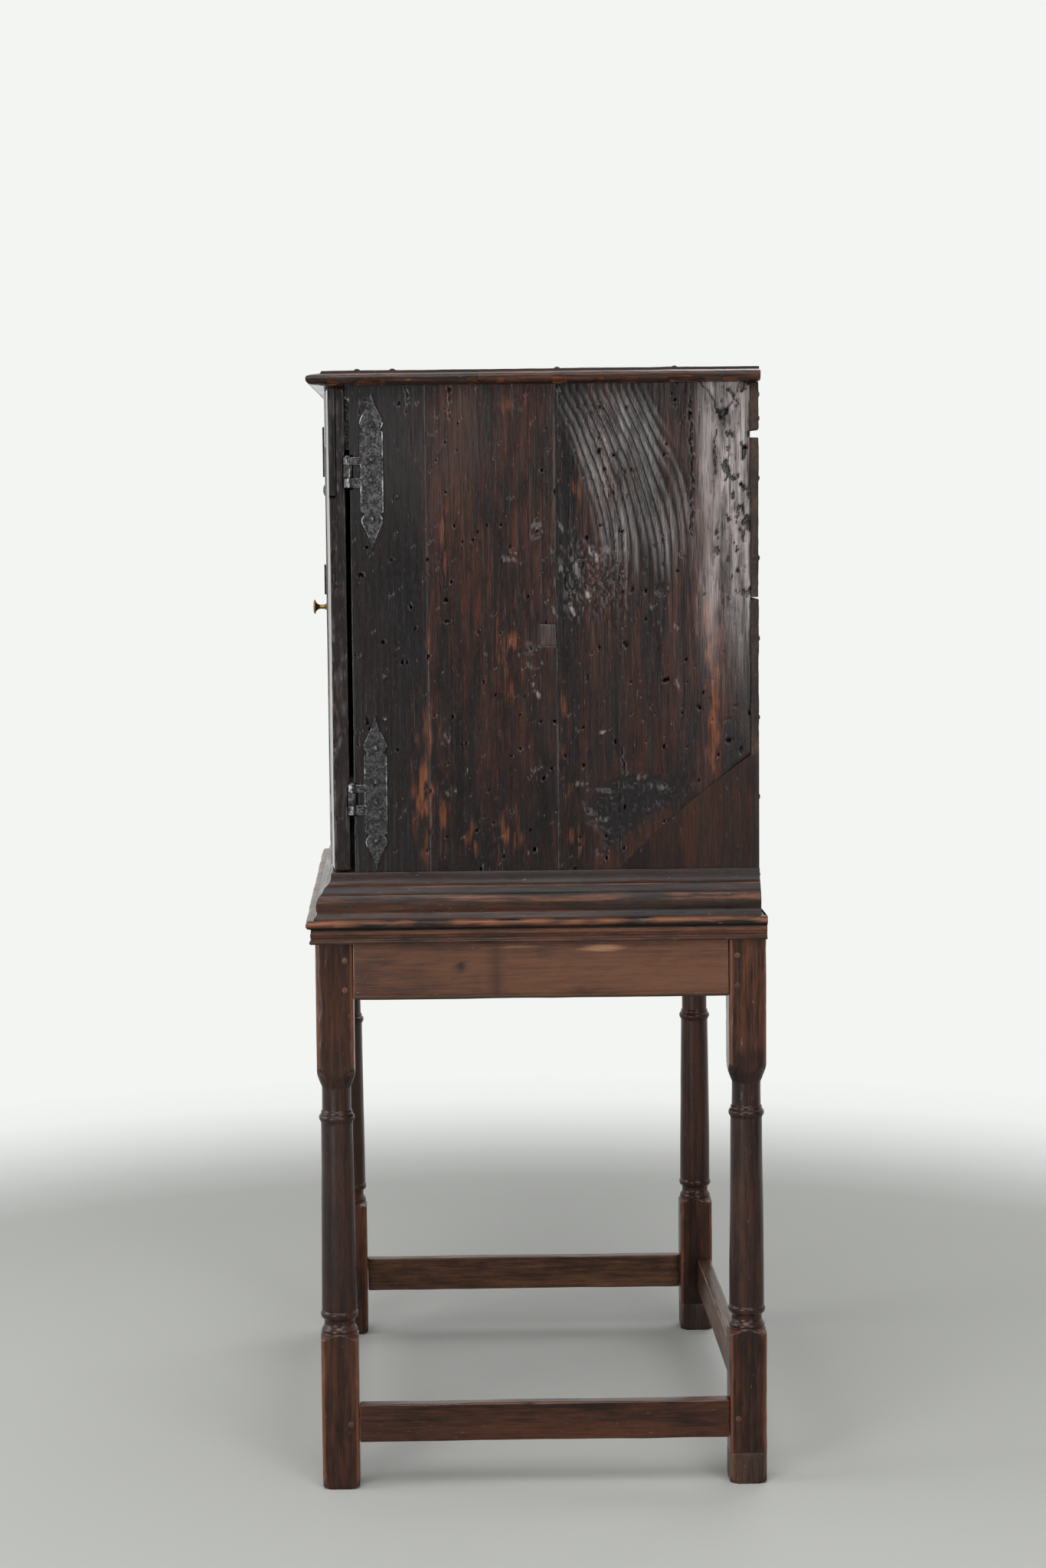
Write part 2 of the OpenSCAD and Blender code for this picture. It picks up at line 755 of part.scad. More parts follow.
module top_board(front) {
    x = case_x + top_over + eps;
    y0 = front ? door_yf - top_front_over - eps : top_split + board_gap / 2;
    y1 = front ? top_split - board_gap / 2 : back_yb + eps;
    color(oak_case)
        intersection() {
            case_top_slab();
            translate([-x, y0, case_top - eps]) cube([2 * x, y1 - y0, top_t + 2 * eps]);
        }
}

// Horizontal boards nailed over the back, narrow one on top
back_wide_h = (case_top - back_first_h - back_open - stand_h) / back_count;
back_spans = concat(
    [[case_top - back_first_h, back_first_h - board_gap]],
    [for (i = [0:back_count - 1]) [stand_h + i * back_wide_h, back_wide_h - (i < back_count - 1 ? 1.5 : 0)]]);
back_nails = [
    for (span = back_spans)
        for (s = [-1, 1])
            for (f = [0.25, 0.75])
                [s * (case_x - side_t / 2), span[0] + f * span[1]]
];

// Places its children along the nails of the back, pointing out of it
module at_back_nails() {
    for (n = back_nails)
        translate([n[0], back_yb, n[1]])
            rotate([-90, 0, 0]) children();
}

module back_boards() {
    color(oak_case)
        difference() {
            for (span = back_spans)
                translate([-case_x, case_yb, span[0]])
                    cube([case_w, back_t, span[1]]);
            corner_repair(joint_slip);
            at_back_nails() nail_hole();
        }
}

module shelf(z) {
    color(oak_case)
        difference() {
            translate([side_t - case_x, case_yf + shelf_set, base_top + z - shelf_t])
                cube([case_w - 2 * side_t, case_d - shelf_set, shelf_t]);
            loop_wire(joint_slip);
        }
}

module shelf_bearers() {
    color(oak_case)
        for (z = [shelf_low_z, shelf_high_z])
            for (s = [0, 1])
                flip_x(s == 1)
                    translate([case_x - side_t - bearer, case_yf + shelf_set, 0])
                        translate([0, 0, base_top + z - shelf_t - bearer])
                            cube([bearer, case_d - shelf_set, bearer]);
}

module iron_nails() {
    color(iron) {
        for (s = [0, 1])
            flip_x(s == 1) {
                at_side_nails(hinge_nails) nail();
                at_side_nails(side_nails) nail();
            }
        for (n = top_nails)
            translate([n[0], n[1], top_z]) nail();
        at_back_nails() nail();
    }
}

// Hinges

// Outline of one pointed end of a hinge leaf, from its neck to its tip
function point_outline(w, h) = [
    for (p = [[0.27, 0], [0.4, 0.02], [0.5, 0.13], [0.52, 0.2], [0.47, 0.31], [0.34, 0.46],
              [0.21, 0.62], [0.12, 0.77], [0.06, 0.9], [0.02, 1]])
        [p[0] * w, p[1] * h]
];

// Flat outline of a case leaf in Y and Z, below the top of its straight part
function leaf_outline() =
    let (
        half = leaf_w / 2,
        c = 3,
        up = point_outline(leaf_w, point_top_h),
        down = [for (p = point_outline(leaf_w * 0.92, point_low_h)) [p[0], -leaf_h - p[1]]],
        straight = [[half - c, -leaf_h], [half, c - leaf_h], [half, -c], [half - c, 0]],
        right = concat(backwards(down), straight, up)
    )
    concat(right, [for (p = backwards(right)) [-p[0], p[1]]]);

// Tubes of the knuckles that one side of a hinge owns, from z0 up to z0 + h
module knuckle(z0, h) {
    translate([pin_x, pin_y, z0]) cylinder(d = knuckle_d, h = h);
}

module pin_bore(hz) {
    translate([pin_x, pin_y, hz - knuckle_h / 2 - eps])
        cylinder(d = pin_d + 2 * pin_slip, h = knuckle_h + 2 * eps);
}

// Leaf on the right side of the case, with its top and bottom knuckles
module case_leaf(hz, leaf_top) {
    ends = [[hz - knuckle_h / 2, knuckle_low_h], [hz + knuckle_h / 2 - knuckle_top_h, knuckle_top_h]];
    difference() {
        union() {
            translate([case_x, leaf_y, leaf_top])
                rotate([90, 0, 90]) linear_extrude(leaf_t) polygon(leaf_outline());
            for (k = ends) {
                knuckle(k[0], k[1]);
                translate([case_x, pin_y, k[0]]) cube([leaf_t, leaf_y - pin_y, k[1]]);
            }
        }
        pin_bore(hz);
        at_side_nails(hinge_nails) nail_hole();
    }
}

module hinge_case_leaves() {
    color(iron)
        for (s = [0, 1])
            flip_x(s == 1)
                for (i = [0, 1])
                    case_leaf(hinge_zs[i], leaf_tops[i]);
}

module hinge_pins() {
    color(iron)
        for (s = [0, 1])
            flip_x(s == 1)
                for (hz = hinge_zs)
                    translate([pin_x, pin_y, hz - knuckle_h / 2]) {
                        cylinder(d = pin_d, h = knuckle_h);
                        translate([0, 0, knuckle_h]) cylinder(d = pin_head_d, h = pin_head_h);
                    }
}

// Leaf on the back of the right door, with the middle knuckle
module door_leaf(hz) {
    z0 = hz - knuckle_h / 2 + knuckle_low_h + knuckle_gap;
    neck = side_t + 6;
    difference() {
        union() {
            knuckle(z0, knuckle_mid_h);
            translate([pin_x - neck, door_yb, z0]) cube([neck, door_leaf_t, knuckle_mid_h]);
            translate([pin_x - door_leaf_len, door_yb, z0 + knuckle_mid_h / 2 - door_leaf_h / 2])
                cube([door_leaf_len - neck, door_leaf_t, door_leaf_h]);
        }
        pin_bore(hz);
    }
}

// Doors

// Swings its children from the closed place to where the door stands ajar
module ajar_right() {
    translate([pin_x, pin_y, 0])
        rotate([0, 0, ajar])
            translate([-pin_x, -pin_y, 0]) children();
}

// The same for parts of the left door, drawn where the right door's would be
module ajar_left() {
    mirror([1, 0, 0]) ajar_right() children();
}

module hinge_leaves_of_door() {
    for (hz = hinge_zs) door_leaf(hz);
}

// Plain rail of a door between the stiles, with its tenons. grow cuts the mortises.
module door_rail_blank(z0, grow) {
    x0 = meeting_gap / 2 + stile_w;
    x1 = case_x - stile_w;
    shoulder = 10 - grow;
    reach = door_tenon_len + grow;
    translate([x0, door_yf, z0]) cube([x1 - x0, door_t, door_rail_h]);
    translate([x0 - reach, door_yf + tongue_y - grow, z0 + shoulder])
        cube([x1 - x0 + 2 * reach, tongue_t + 2 * grow, door_rail_h - 2 * shoulder]);
}

door_rail_zs = [door_z0, door_z1 - door_rail_h];
panel_slip = 0.3;

// Raised panel, grown by slip to cut its groove
module door_panel_blank(grow) {
    x0 = meeting_gap / 2 + stile_w - groove_d + panel_slip - grow;
    x1 = case_x - stile_w + groove_d - panel_slip + grow;
    z0 = door_z0 + door_rail_h - groove_d + panel_slip - grow;
    z1 = door_z1 - door_rail_h + groove_d - panel_slip + grow;
    y2 = door_yf + tongue_y + tongue_t + grow / 2;
    y1 = door_yf + tongue_y - grow / 2;
    m = groove_d + field_margin;
    s = field_slope;
    y0 = y1 - field_rise;
    intersection() {
        translate([0, 0, z0])
            linear_extrude(z1 - z0)
                polygon([[x0, y2], [x1, y2], [x1, y1], [x1 - m, y1], [x1 - m - s, y0],
                         [x0 + m + s, y0], [x0 + m, y1], [x0, y1]]);
        translate([x0, 0, 0])
            rotate([90, 0, 90])
                linear_extrude(x1 - x0)
                    polygon([[y2, z0], [y2, z1], [y1, z1], [y1, z1 - m], [y0, z1 - m - s],
                             [y0, z0 + m + s], [y1, z0 + m], [y1, z0]]);
    }
}

// Repair let into the front of the outer edge of the right door, from its top down
module door_patch(grow) {
    out = grow > 0 ? eps : 0;
    slope = door_patch_rake / door_patch_t;
    y0 = door_yf - out;
    y1 = door_yf + door_patch_t + grow;
    z0 = door_z1 - door_patch_h - grow - out * slope;
    translate([case_x - door_patch_d - grow, 0, 0])
        rotate([90, 0, 90])
            linear_extrude(door_patch_d + grow + out)
                polygon([[y0, z0], [y1, z0 + (y1 - y0) * slope], [y1, door_z1 + out], [y0, door_z1 + out]]);
}

module stile_cuts() {
    for (z = door_rail_zs) door_rail_blank(z, joint_slip);
    door_panel_blank(panel_slip);
}

module door_outer_stile(patched) {
    difference() {
        translate([case_x - stile_w, door_yf, door_z0]) cube([stile_w, door_t, door_z1 - door_z0]);
        stile_cuts();
        for (hz = hinge_zs) knuckle_recess(hz);
        if (patched) door_patch(joint_slip);
    }
}

// Keyhole: a round hole over a slot, along Y
module keyhole(y0, depth) {
    translate([lock_x, y0, lock_z + 4])
        rotate([-90, 0, 0]) cylinder(d = 6.5, h = depth);
    translate([lock_x - 1.6, y0, lock_z - 9]) cube([3.2, depth, 13]);
}

module door_meeting_stile(lockable) {
    difference() {
        translate([meeting_gap / 2, door_yf, door_z0]) cube([stile_w, door_t, door_z1 - door_z0]);
        stile_cuts();
        if (lockable) {
            keyhole(door_yf - eps, door_t + 2 * eps);
            translate([lock_x, door_yf - eps, door_z0 + knob_z])
                rotate([-90, 0, 0])
                    cylinder(d = knob_shank_d + 2 * joint_slip, h = knob_shank + eps + joint_slip);
        }
    }
}

module door_rail(z0) {
    difference() {
        door_rail_blank(z0, 0);
        door_panel_blank(panel_slip);
    }
}

// Knob, lock and hook

knob_shank = 18;
knob_shank_d = 5;

// Trumpet-shaped knob on the right door, turned, with its shank in the stile
module door_knob() {
    r = knob_d / 2;
    s = knob_stem_d / 2;
    l = knob_len;
    color(brass)
        ajar_right()
            translate([lock_x, door_yf, door_z0 + knob_z])
                rotate([90, 0, 0])
                    rotate_extrude()
                        polygon(concat(
                            [[0, -knob_shank], [knob_shank_d / 2, -knob_shank], [knob_shank_d / 2, 0]],
                            [[s + 1.8, 0], [s + 1.5, 1.2], [s, 2.6], [s - 0.2, l * 0.45]],
                            arc(r + 0.6, l * 0.45, r - s + 0.8, l * 0.38, 176, 96, 6),
                            [[r, l - 2.6], [r - 0.6, l - 1.4], [r * 0.6, l - 0.4], [0, l]]));
}

// Shield round a keyhole
module lock_escutcheon() {
    w = plate_w / 2;
    h = plate_h / 2;
    color(iron)
        ajar_right()
            difference() {
                translate([lock_x, door_yf, lock_z])
                    rotate([90, 0, 0])
                        linear_extrude(plate_t)
                            polygon([[0, -h], [w * 0.35, -h * 0.8], [w * 0.8, -h * 0.35], [w, h * 0.1],
                                     [w * 0.85, h * 0.6], [w * 0.4, h * 0.8], [0, h], [-w * 0.4, h * 0.8],
                                     [-w * 0.85, h * 0.6], [-w, h * 0.1], [-w * 0.8, -h * 0.35],
                                     [-w * 0.35, -h * 0.8]]);
                keyhole(door_yf - plate_t - eps, plate_t + 2 * eps);
            }
}

// Pointed iron plate near the top of the meeting stile, with a boss below it
module upper_plate() {
    w = plate_w / 2;
    h = upper_plate_h / 2;
    boss_d = 16;
    boss_drop = 19;
    color(iron)
        ajar_right()
            translate([lock_x, door_yf, door_z1 - upper_plate_drop])
                rotate([90, 0, 0]) {
                    linear_extrude(plate_t)
                        polygon([[0, -h], [w * 0.6, -h * 0.72], [w * 0.75, -h * 0.5], [w * 0.75, h * 0.5],
                                 [w * 0.6, h * 0.72], [0, h], [-w * 0.6, h * 0.72], [-w * 0.75, h * 0.5],
                                 [-w * 0.75, -h * 0.5], [-w * 0.6, -h * 0.72]]);
                    translate([0, -h - boss_drop, 0])
                        rotate_extrude()
                            polygon(concat(
                                [[0, 0], [boss_d / 2, 0]],
                                arc(0, 0, boss_d / 2, plate_t, 15, 75, 4),
                                [[0, plate_t]]));
                }
}

lock_x0 = meeting_gap / 2 + 5;
bolt_y = door_yb + (lock_d - bolt_t) / 2;

module bolt_shape(grow) {
    translate([lock_x0 - (grow > 0 ? eps : 0), bolt_y - grow, lock_z - bolt_h / 2 - grow])
        cube([bolt_len + (grow > 0 ? eps + grow : 0), bolt_t + 2 * grow, bolt_h + 2 * grow]);
}

module lock_case() {
    color(iron)
        ajar_right()
            difference() {
                translate([lock_x0, door_yb, lock_z - lock_h / 2]) cube([lock_w, lock_d, lock_h]);
                bolt_shape(0.3);
                keyhole(door_yb - eps, (lock_d - bolt_t) / 2 + eps - 1);
            }
}

module lock_bolt() {
    color(iron)
        ajar_right() bolt_shape(0);
}

hook_shelf_z = base_top + shelf_low_z - shelf_t / 2;
pivot_y = door_yb + hook_out;
pivot_z = hook_shelf_z + hook_rise;

// Keeper of the lock's bolt and staple of the hook, both on the back of the left door
module left_door_staples() {
    wall = 2.6;
    slot_y = bolt_t + 2 * keeper_slip;
    slot_z = bolt_h + 2 * keeper_slip;
    keeper_x = meeting_gap / 2 + 1;
    span = 9;
    color(iron)
        ajar_left() {
            difference() {
                translate([keeper_x, door_yb, lock_z - slot_z / 2 - wall])
                    cube([keeper_w, bolt_y - door_yb + bolt_t + keeper_slip + wall, slot_z + 2 * wall]);
                translate([keeper_x - eps, bolt_y - keeper_slip, lock_z - slot_z / 2])
                    cube([keeper_w + 2 * eps, slot_y, slot_z]);
            }
            translate([hook_x - span, pivot_y, pivot_z])
                rotate([0, 90, 0]) cylinder(d = hook_d, h = 2 * span);
            for (s = [-1, 1])
                translate([hook_x + s * span, door_yb, pivot_z]) {
                    rotate([-90, 0, 0]) cylinder(d = hook_d, h = hook_out);
                    translate([0, hook_out, 0]) sphere(d = hook_d);
                }
        }
}

// Hook that hangs from its staple when it isn't in use
module door_hook() {
    eye_d = hook_d + 6;
    color(iron)
        ajar_left()
            translate([hook_x, pivot_y, pivot_z]) {
                difference() {
                    union() {
                        translate([-hook_d / 2, 0, 0]) rotate([0, 90, 0]) cylinder(d = eye_d, h = hook_d);
                        translate([0, 0, -hook_len]) cylinder(d = hook_d, h = hook_len - hook_d / 2);
                    }
                    translate([-hook_d, 0, 0])
                        rotate([0, 90, 0]) cylinder(d = hook_d + 2 * pin_slip, h = 2 * hook_d);
                }
                translate([0, 0, -hook_len]) {
                    sphere(d = hook_d);
                    rotate([90, 0, 0]) cylinder(d = hook_d * 0.9, h = hook_tip);
                }
            }
}

// Wire loop in the front edge of the lower shelf, grown by slip to drill its holes
module loop_wire(slip) {
    wire = 3;
    half = hook_d / 2 + 3.2;
    front_y = door_yb + hook_out + hook_len - 6.4;
    rear_y = case_yf + shelf_set + 12;
    translate([-hook_x, 0, hook_shelf_z]) {
        for (s = [-1, 1])
            translate([s * half, front_y, 0]) {
                rotate([-90, 0, 0]) cylinder(d = wire + 2 * slip, h = rear_y - front_y + slip);
                sphere(d = wire + 2 * slip);
            }
        translate([-half, front_y, 0]) rotate([0, 90, 0]) cylinder(d = wire + 2 * slip, h = 2 * half);
    }
}

module hook_loop() {
    color(iron) loop_wire(0);
}

// Pieces

module right_door(part) {
    color(oak_case)
        ajar_right() {
            if (part == "outer") door_outer_stile(true);
            if (part == "meeting") door_meeting_stile(true);
            if (part == "top") door_rail(door_rail_zs[1]);
            if (part == "bottom") door_rail(door_rail_zs[0]);
            if (part == "panel") door_panel_blank(0);
            if (part == "patch") door_patch(0);
        }
}

module left_door(part) {
    color(oak_case)
        ajar_left() {
            if (part == "outer") door_outer_stile(false);
            if (part == "meeting") door_meeting_stile(false);
            if (part == "top") door_rail(door_rail_zs[1]);
            if (part == "bottom") door_rail(door_rail_zs[0]);
            if (part == "panel") door_panel_blank(0);
        }
}

leg_at(corners[0]);  // leg_front_right
leg_at(corners[1]);  // leg_front_left
leg_at(corners[2]);  // leg_back_right
leg_at(corners[3]);  // leg_back_left
foot_tips();
color(oak_rail) cross_bar(0, -1, rail_chamfer);  // rail_front
color(oak_rail) cross_bar(0, 1, rail_chamfer);  // rail_back
color(oak_rail) side_bar(0, 1, rail_chamfer);  // rail_right
color(oak_rail) side_bar(0, -1, rail_chamfer);  // rail_left
color(oak_stand) cross_bar(1, -1, 1.5);  // stretcher_front
color(oak_stand) cross_bar(1, 1, 1.5);  // stretcher_back
color(oak_stand) side_bar(1, 1, 1.5);  // stretcher_right
color(oak_stand) side_bar(1, -1, 1.5);  // stretcher_left
stand_pegs();
stand_top();
stand_moulding("front");  // stand_moulding_front
stand_moulding("right");  // stand_moulding_right
stand_moulding("left");  // stand_moulding_left
base_rail();
base_moulding("front");  // base_moulding_front
base_moulding("right");  // base_moulding_right
base_moulding("left");  // base_moulding_left
bottom_board();
side_right(side_front);  // side_right_front_board
side_right(side_middle);  // side_right_middle_board
side_right(side_back);  // side_right_back_board
side_right_repairs();
side_left(side_front);  // side_left_front_board
side_left(side_middle);  // side_left_middle_board
side_left(side_back);  // side_left_back_board
top_board(true);  // top_front_board
top_board(false);  // top_back_board
back_boards();
shelf(shelf_low_z);  // shelf_lower
shelf(shelf_high_z);  // shelf_upper
shelf_bearers();
iron_nails();
hinge_case_leaves();
hinge_pins();
color(iron) ajar_right() hinge_leaves_of_door();  // right_door_hinge_leaves
color(iron) ajar_left() hinge_leaves_of_door();  // left_door_hinge_leaves
right_door("outer");  // right_door_outer_stile
right_door("meeting");  // right_door_meeting_stile
right_door("top");  // right_door_top_rail
right_door("bottom");  // right_door_bottom_rail
right_door("panel");  // right_door_panel
right_door("patch");  // right_door_edge_patch
left_door("outer");  // left_door_outer_stile
left_door("meeting");  // left_door_meeting_stile
left_door("top");  // left_door_top_rail
left_door("bottom");  // left_door_bottom_rail
left_door("panel");  // left_door_panel
door_knob();
lock_escutcheon();
upper_plate();
lock_case();
lock_bolt();
left_door_staples();
door_hook();
hook_loop();
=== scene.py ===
"""Cabinet on a turned stand: worn oak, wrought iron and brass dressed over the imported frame.

Everything is worked out in millimetres in the frame of the solids and put into the mesh in metres.
"""
import logging
import math
from dataclasses import dataclass, field
from enum import Enum
from functools import cache, partial, reduce
from itertools import product
from typing import Callable, Sequence

import bpy
import numpy as np
from mathutils import Matrix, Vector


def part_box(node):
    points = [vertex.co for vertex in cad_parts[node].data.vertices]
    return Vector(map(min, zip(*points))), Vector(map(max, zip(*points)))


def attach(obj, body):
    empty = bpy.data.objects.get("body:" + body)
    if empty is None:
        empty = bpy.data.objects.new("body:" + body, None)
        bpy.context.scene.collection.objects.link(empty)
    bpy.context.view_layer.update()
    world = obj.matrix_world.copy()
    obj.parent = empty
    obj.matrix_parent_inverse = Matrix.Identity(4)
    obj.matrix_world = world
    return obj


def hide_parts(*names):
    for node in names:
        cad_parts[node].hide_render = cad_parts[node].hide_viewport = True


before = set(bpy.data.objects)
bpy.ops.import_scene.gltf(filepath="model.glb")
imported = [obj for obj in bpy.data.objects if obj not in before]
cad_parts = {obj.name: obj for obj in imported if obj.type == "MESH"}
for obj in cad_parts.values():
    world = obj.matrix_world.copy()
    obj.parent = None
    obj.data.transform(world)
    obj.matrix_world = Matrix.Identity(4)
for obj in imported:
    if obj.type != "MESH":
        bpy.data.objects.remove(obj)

LOG = logging.getLogger("cabinet")
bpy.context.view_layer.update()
MM = 0.001
Faces = list[np.ndarray]
Mapping = Callable[[np.ndarray, np.ndarray, np.ndarray], tuple]
Adder = Callable[..., bpy.types.NodeSocket]

# Sizes in millimetres that several sub-assemblies share; x and y count from the middle of the stand.
SIDE_X = 390.0
CASE_FRONT, CASE_BACK = -239.75, 289.25
CASE_FOOT, CASE_HEAD = 773.5, 1481.9
BACK_FACE = 300.25
BASE_TOP = 837.0
LEG_X, LEG_FRONT, LEG_BACK = 391.0, -269.25, 281.75
PIN = (391.5, -242.75)
KNUCKLES = (1368.5, 934.5)
BOARD_JOINTS = (-139.55, 31.45)


# Numbers

def smooth(x: np.ndarray, low: float, high: float) -> np.ndarray:
    """Rises from 0 at low to 1 at high along 3t squared minus 2t cubed."""
    t = np.clip((x - low) / (high - low), 0.0, 1.0)
    return t * t * (3.0 - 2.0 * t)


def cell_noise(points: np.ndarray, seed: int) -> np.ndarray:
    """Gives value noise: hashed numbers at the corners of unit cells, blended by 3t2 - 2t3.

    Args:
        points: Array of shape (n, 3), in units of one cell.
        seed: Number that picks the pattern.

    Returns:
        Array of n values from 0 to 1.
    """
    base = np.floor(points).astype(np.int64)
    t = points - base
    t = t * t * (3.0 - 2.0 * t)
    total = np.zeros(len(points))
    for corner in product((0, 1), repeat=3):
        c = base + corner
        h = (c[:, 0] * 374761393 + c[:, 1] * 668265263 + c[:, 2] * 1103515245 + seed * 974634777)
        h &= 0xFFFFFFFF
        h = ((h ^ (h >> 13)) * 1274126177) & 0xFFFFFFFF
        h = (h ^ (h >> 16)) & 0xFFFFFFFF
        weight = np.prod(np.where(corner, t, 1.0 - t), axis=1)
        total += weight * h / 0xFFFFFFFF
    return total


def rough(points: np.ndarray, size: Sequence[float], seed: int, octaves: int = 3) -> np.ndarray:
    """Sums octaves of cell noise, each half as large and half as strong as the one before.

    Args:
        points: Array of shape (n, 3) in millimetres.
        size: Length of the largest lumps along X, Y and Z in millimetres.
        seed: Number that picks the pattern.
        octaves: Number of sizes summed.

    Returns:
        Array of n values, mostly from -1 to 1.
    """
    p = points / np.asarray(size, float)
    total = np.zeros(len(points))
    for i in range(octaves):
        total += (cell_noise(p * 2.0 ** i + 31.7 * i, seed + i) - 0.5) / 2.0 ** i
    return total * 1.6


def unit(x: np.ndarray) -> np.ndarray:
    """Clips values to the range from 0 to 1."""
    return np.clip(x, 0, 1)


def spot(y: np.ndarray, z: np.ndarray, mark: Sequence[float]) -> np.ndarray:
    """Gives a soft ellipse, exp(-r squared), for a mark of middle y, z and half sizes y, z."""
    return np.exp(-((y - mark[0]) / mark[2]) ** 2 - ((z - mark[1]) / mark[3]) ** 2)


def steps(low: float, high: float, pitch: float, border: float = 0.0) -> np.ndarray:
    """Places grid lines from low to high about a pitch apart, closer together on a rounded border.

    Args:
        low: First line in millimetres.
        high: Last line in millimetres.
        pitch: Wanted distance between two lines.
        border: Radius of the rounded border at both ends, or 0.

    Returns:
        Rising array of lines.
    """
    if border <= 0:
        return np.linspace(low, high, max(2, int(round((high - low) / pitch)) + 1))
    ends = border * np.array([0.0, 0.42, 0.73])
    count = max(2, int(round((high - low - 2 * border) / pitch)) + 1)
    inner = np.linspace(low + border, high - border, count)
    return np.concatenate([low + ends, inner, (high - ends)[::-1]])


# Meshes

@dataclass
class Shape:
    """Points in millimetres, faces as index arrays with four or more columns, and point values."""

    points: np.ndarray
    faces: Faces
    marks: dict[str, np.ndarray] = field(default_factory=dict)

    def joined(self, other: "Shape") -> "Shape":
        """Joins two shapes to one.

        Args:
            other: The shape that is added.

        Returns:
            Both as one, with 0 where a mark is missing.
        """
        parts = (self, other)
        marks = {key: np.concatenate([s.marks.get(key, np.zeros(len(s.points))) for s in parts])
                 for key in {**self.marks, **other.marks}}
        faces = list(self.faces) + [f + len(self.points) for f in other.faces]
        return Shape(np.concatenate([s.points for s in parts]), faces, marks)

    def mirrored(self) -> "Shape":
        """Returns the shape mirrored left to right, with its faces turned to point outwards."""
        return Shape(self.points * (-1.0, 1.0, 1.0), [f[:, ::-1] for f in self.faces], self.marks)

    def turned(self, pivot: tuple[float, float], degrees: float) -> "Shape":
        """Returns the shape turned about an upright axis through pivot.

        Args:
            pivot: X and Y of the axis in millimetres.
            degrees: Angle, positive from +X to +Y.

        Returns:
            The turned shape.
        """
        a = math.radians(degrees)
        x = self.points[:, 0] - pivot[0]
        y = self.points[:, 1] - pivot[1]
        out = self.points.copy()
        out[:, 0] = pivot[0] + x * math.cos(a) - y * math.sin(a)
        out[:, 1] = pivot[1] + x * math.sin(a) + y * math.cos(a)
        return Shape(out, self.faces, self.marks)

    def made(self, name: str, angle: float = 40.0) -> bpy.types.Object:
        """Puts the shape into a new mesh object, smooth except where faces meet at more than angle.

        Args:
            name: Name of the object.
            angle: Sharpest smooth bend in degrees.

        Returns:
            The object, at the origin.
        """
        mesh = bpy.data.meshes.new(name)
        mesh.vertices.add(len(self.points))
        mesh.vertices.foreach_set("co", (self.points * MM).astype(np.float32).ravel())
        loops = np.concatenate([f.ravel() for f in self.faces])
        totals = np.concatenate([np.full(len(f), f.shape[1]) for f in self.faces])
        starts = np.concatenate([[0], np.cumsum(totals)[:-1]])
        mesh.loops.add(len(loops))
        mesh.loops.foreach_set("vertex_index", loops.astype(np.int32))
        mesh.polygons.add(len(totals))
        mesh.polygons.foreach_set("loop_start", starts.astype(np.int32))
        mesh.polygons.foreach_set("loop_total", totals.astype(np.int32))
        mesh.update(calc_edges=True)
        mesh.validate()
        mesh.shade_smooth()
        mesh.set_sharp_from_angle(angle=math.radians(angle))
        for key, values in self.marks.items():
            layer = mesh.attributes.new(key, "FLOAT", "POINT")
            layer.data.foreach_set("value", values.astype(np.float32))
        obj = bpy.data.objects.new(name, mesh)
        bpy.context.scene.collection.objects.link(obj)
        return obj


def lattice(counts: tuple[int, int, int]) -> tuple[np.ndarray, np.ndarray]:
    """Lists the points on the outside of a block of grid points, and the quads between them.

    Each of the six faces is a grid of two indices with the third at its first or last value.

    Args:
        counts: Number of grid points along X, Y and Z.

    Returns:
        Index triples of shape (n, 3), and outward quads of shape (m, 4) into them.
    """
    quads = []
    for axis in range(3):
        a, b = (axis + 1) % 3, (axis + 2) % 3
        u, v = np.meshgrid(np.arange(counts[a] - 1), np.arange(counts[b] - 1), indexing="ij")
        u, v = u.ravel(), v.ravel()
        for side in (0, counts[axis] - 1):
            ring = []
            for du, dv in ((0, 0), (1, 0), (1, 1), (0, 1)):
                index = [None, None, None]
                index[axis] = np.full(len(u), side)
                index[a], index[b] = u + du, v + dv
                ring.append((index[0] * counts[1] + index[1]) * counts[2] + index[2])
            face = np.stack(ring, axis=1)
            quads.append(face if side else face[:, ::-1])
    keys, quads = np.unique(np.concatenate(quads), return_inverse=True)
    quads = quads.reshape(-1, 4)
    triples = np.stack([keys // (counts[1] * counts[2]), keys // counts[2] % counts[1], keys % counts[2]], 1)
    return triples, quads


@dataclass(frozen=True)
class Wear:
    """How a board has worn: arris radius, waviness along and across it, and dents, in millimetres."""

    radius: float = 1.6
    wave: float = 0.5
    ridges: float = 0.12
    chips: float = 0.8
    grain: int = 2


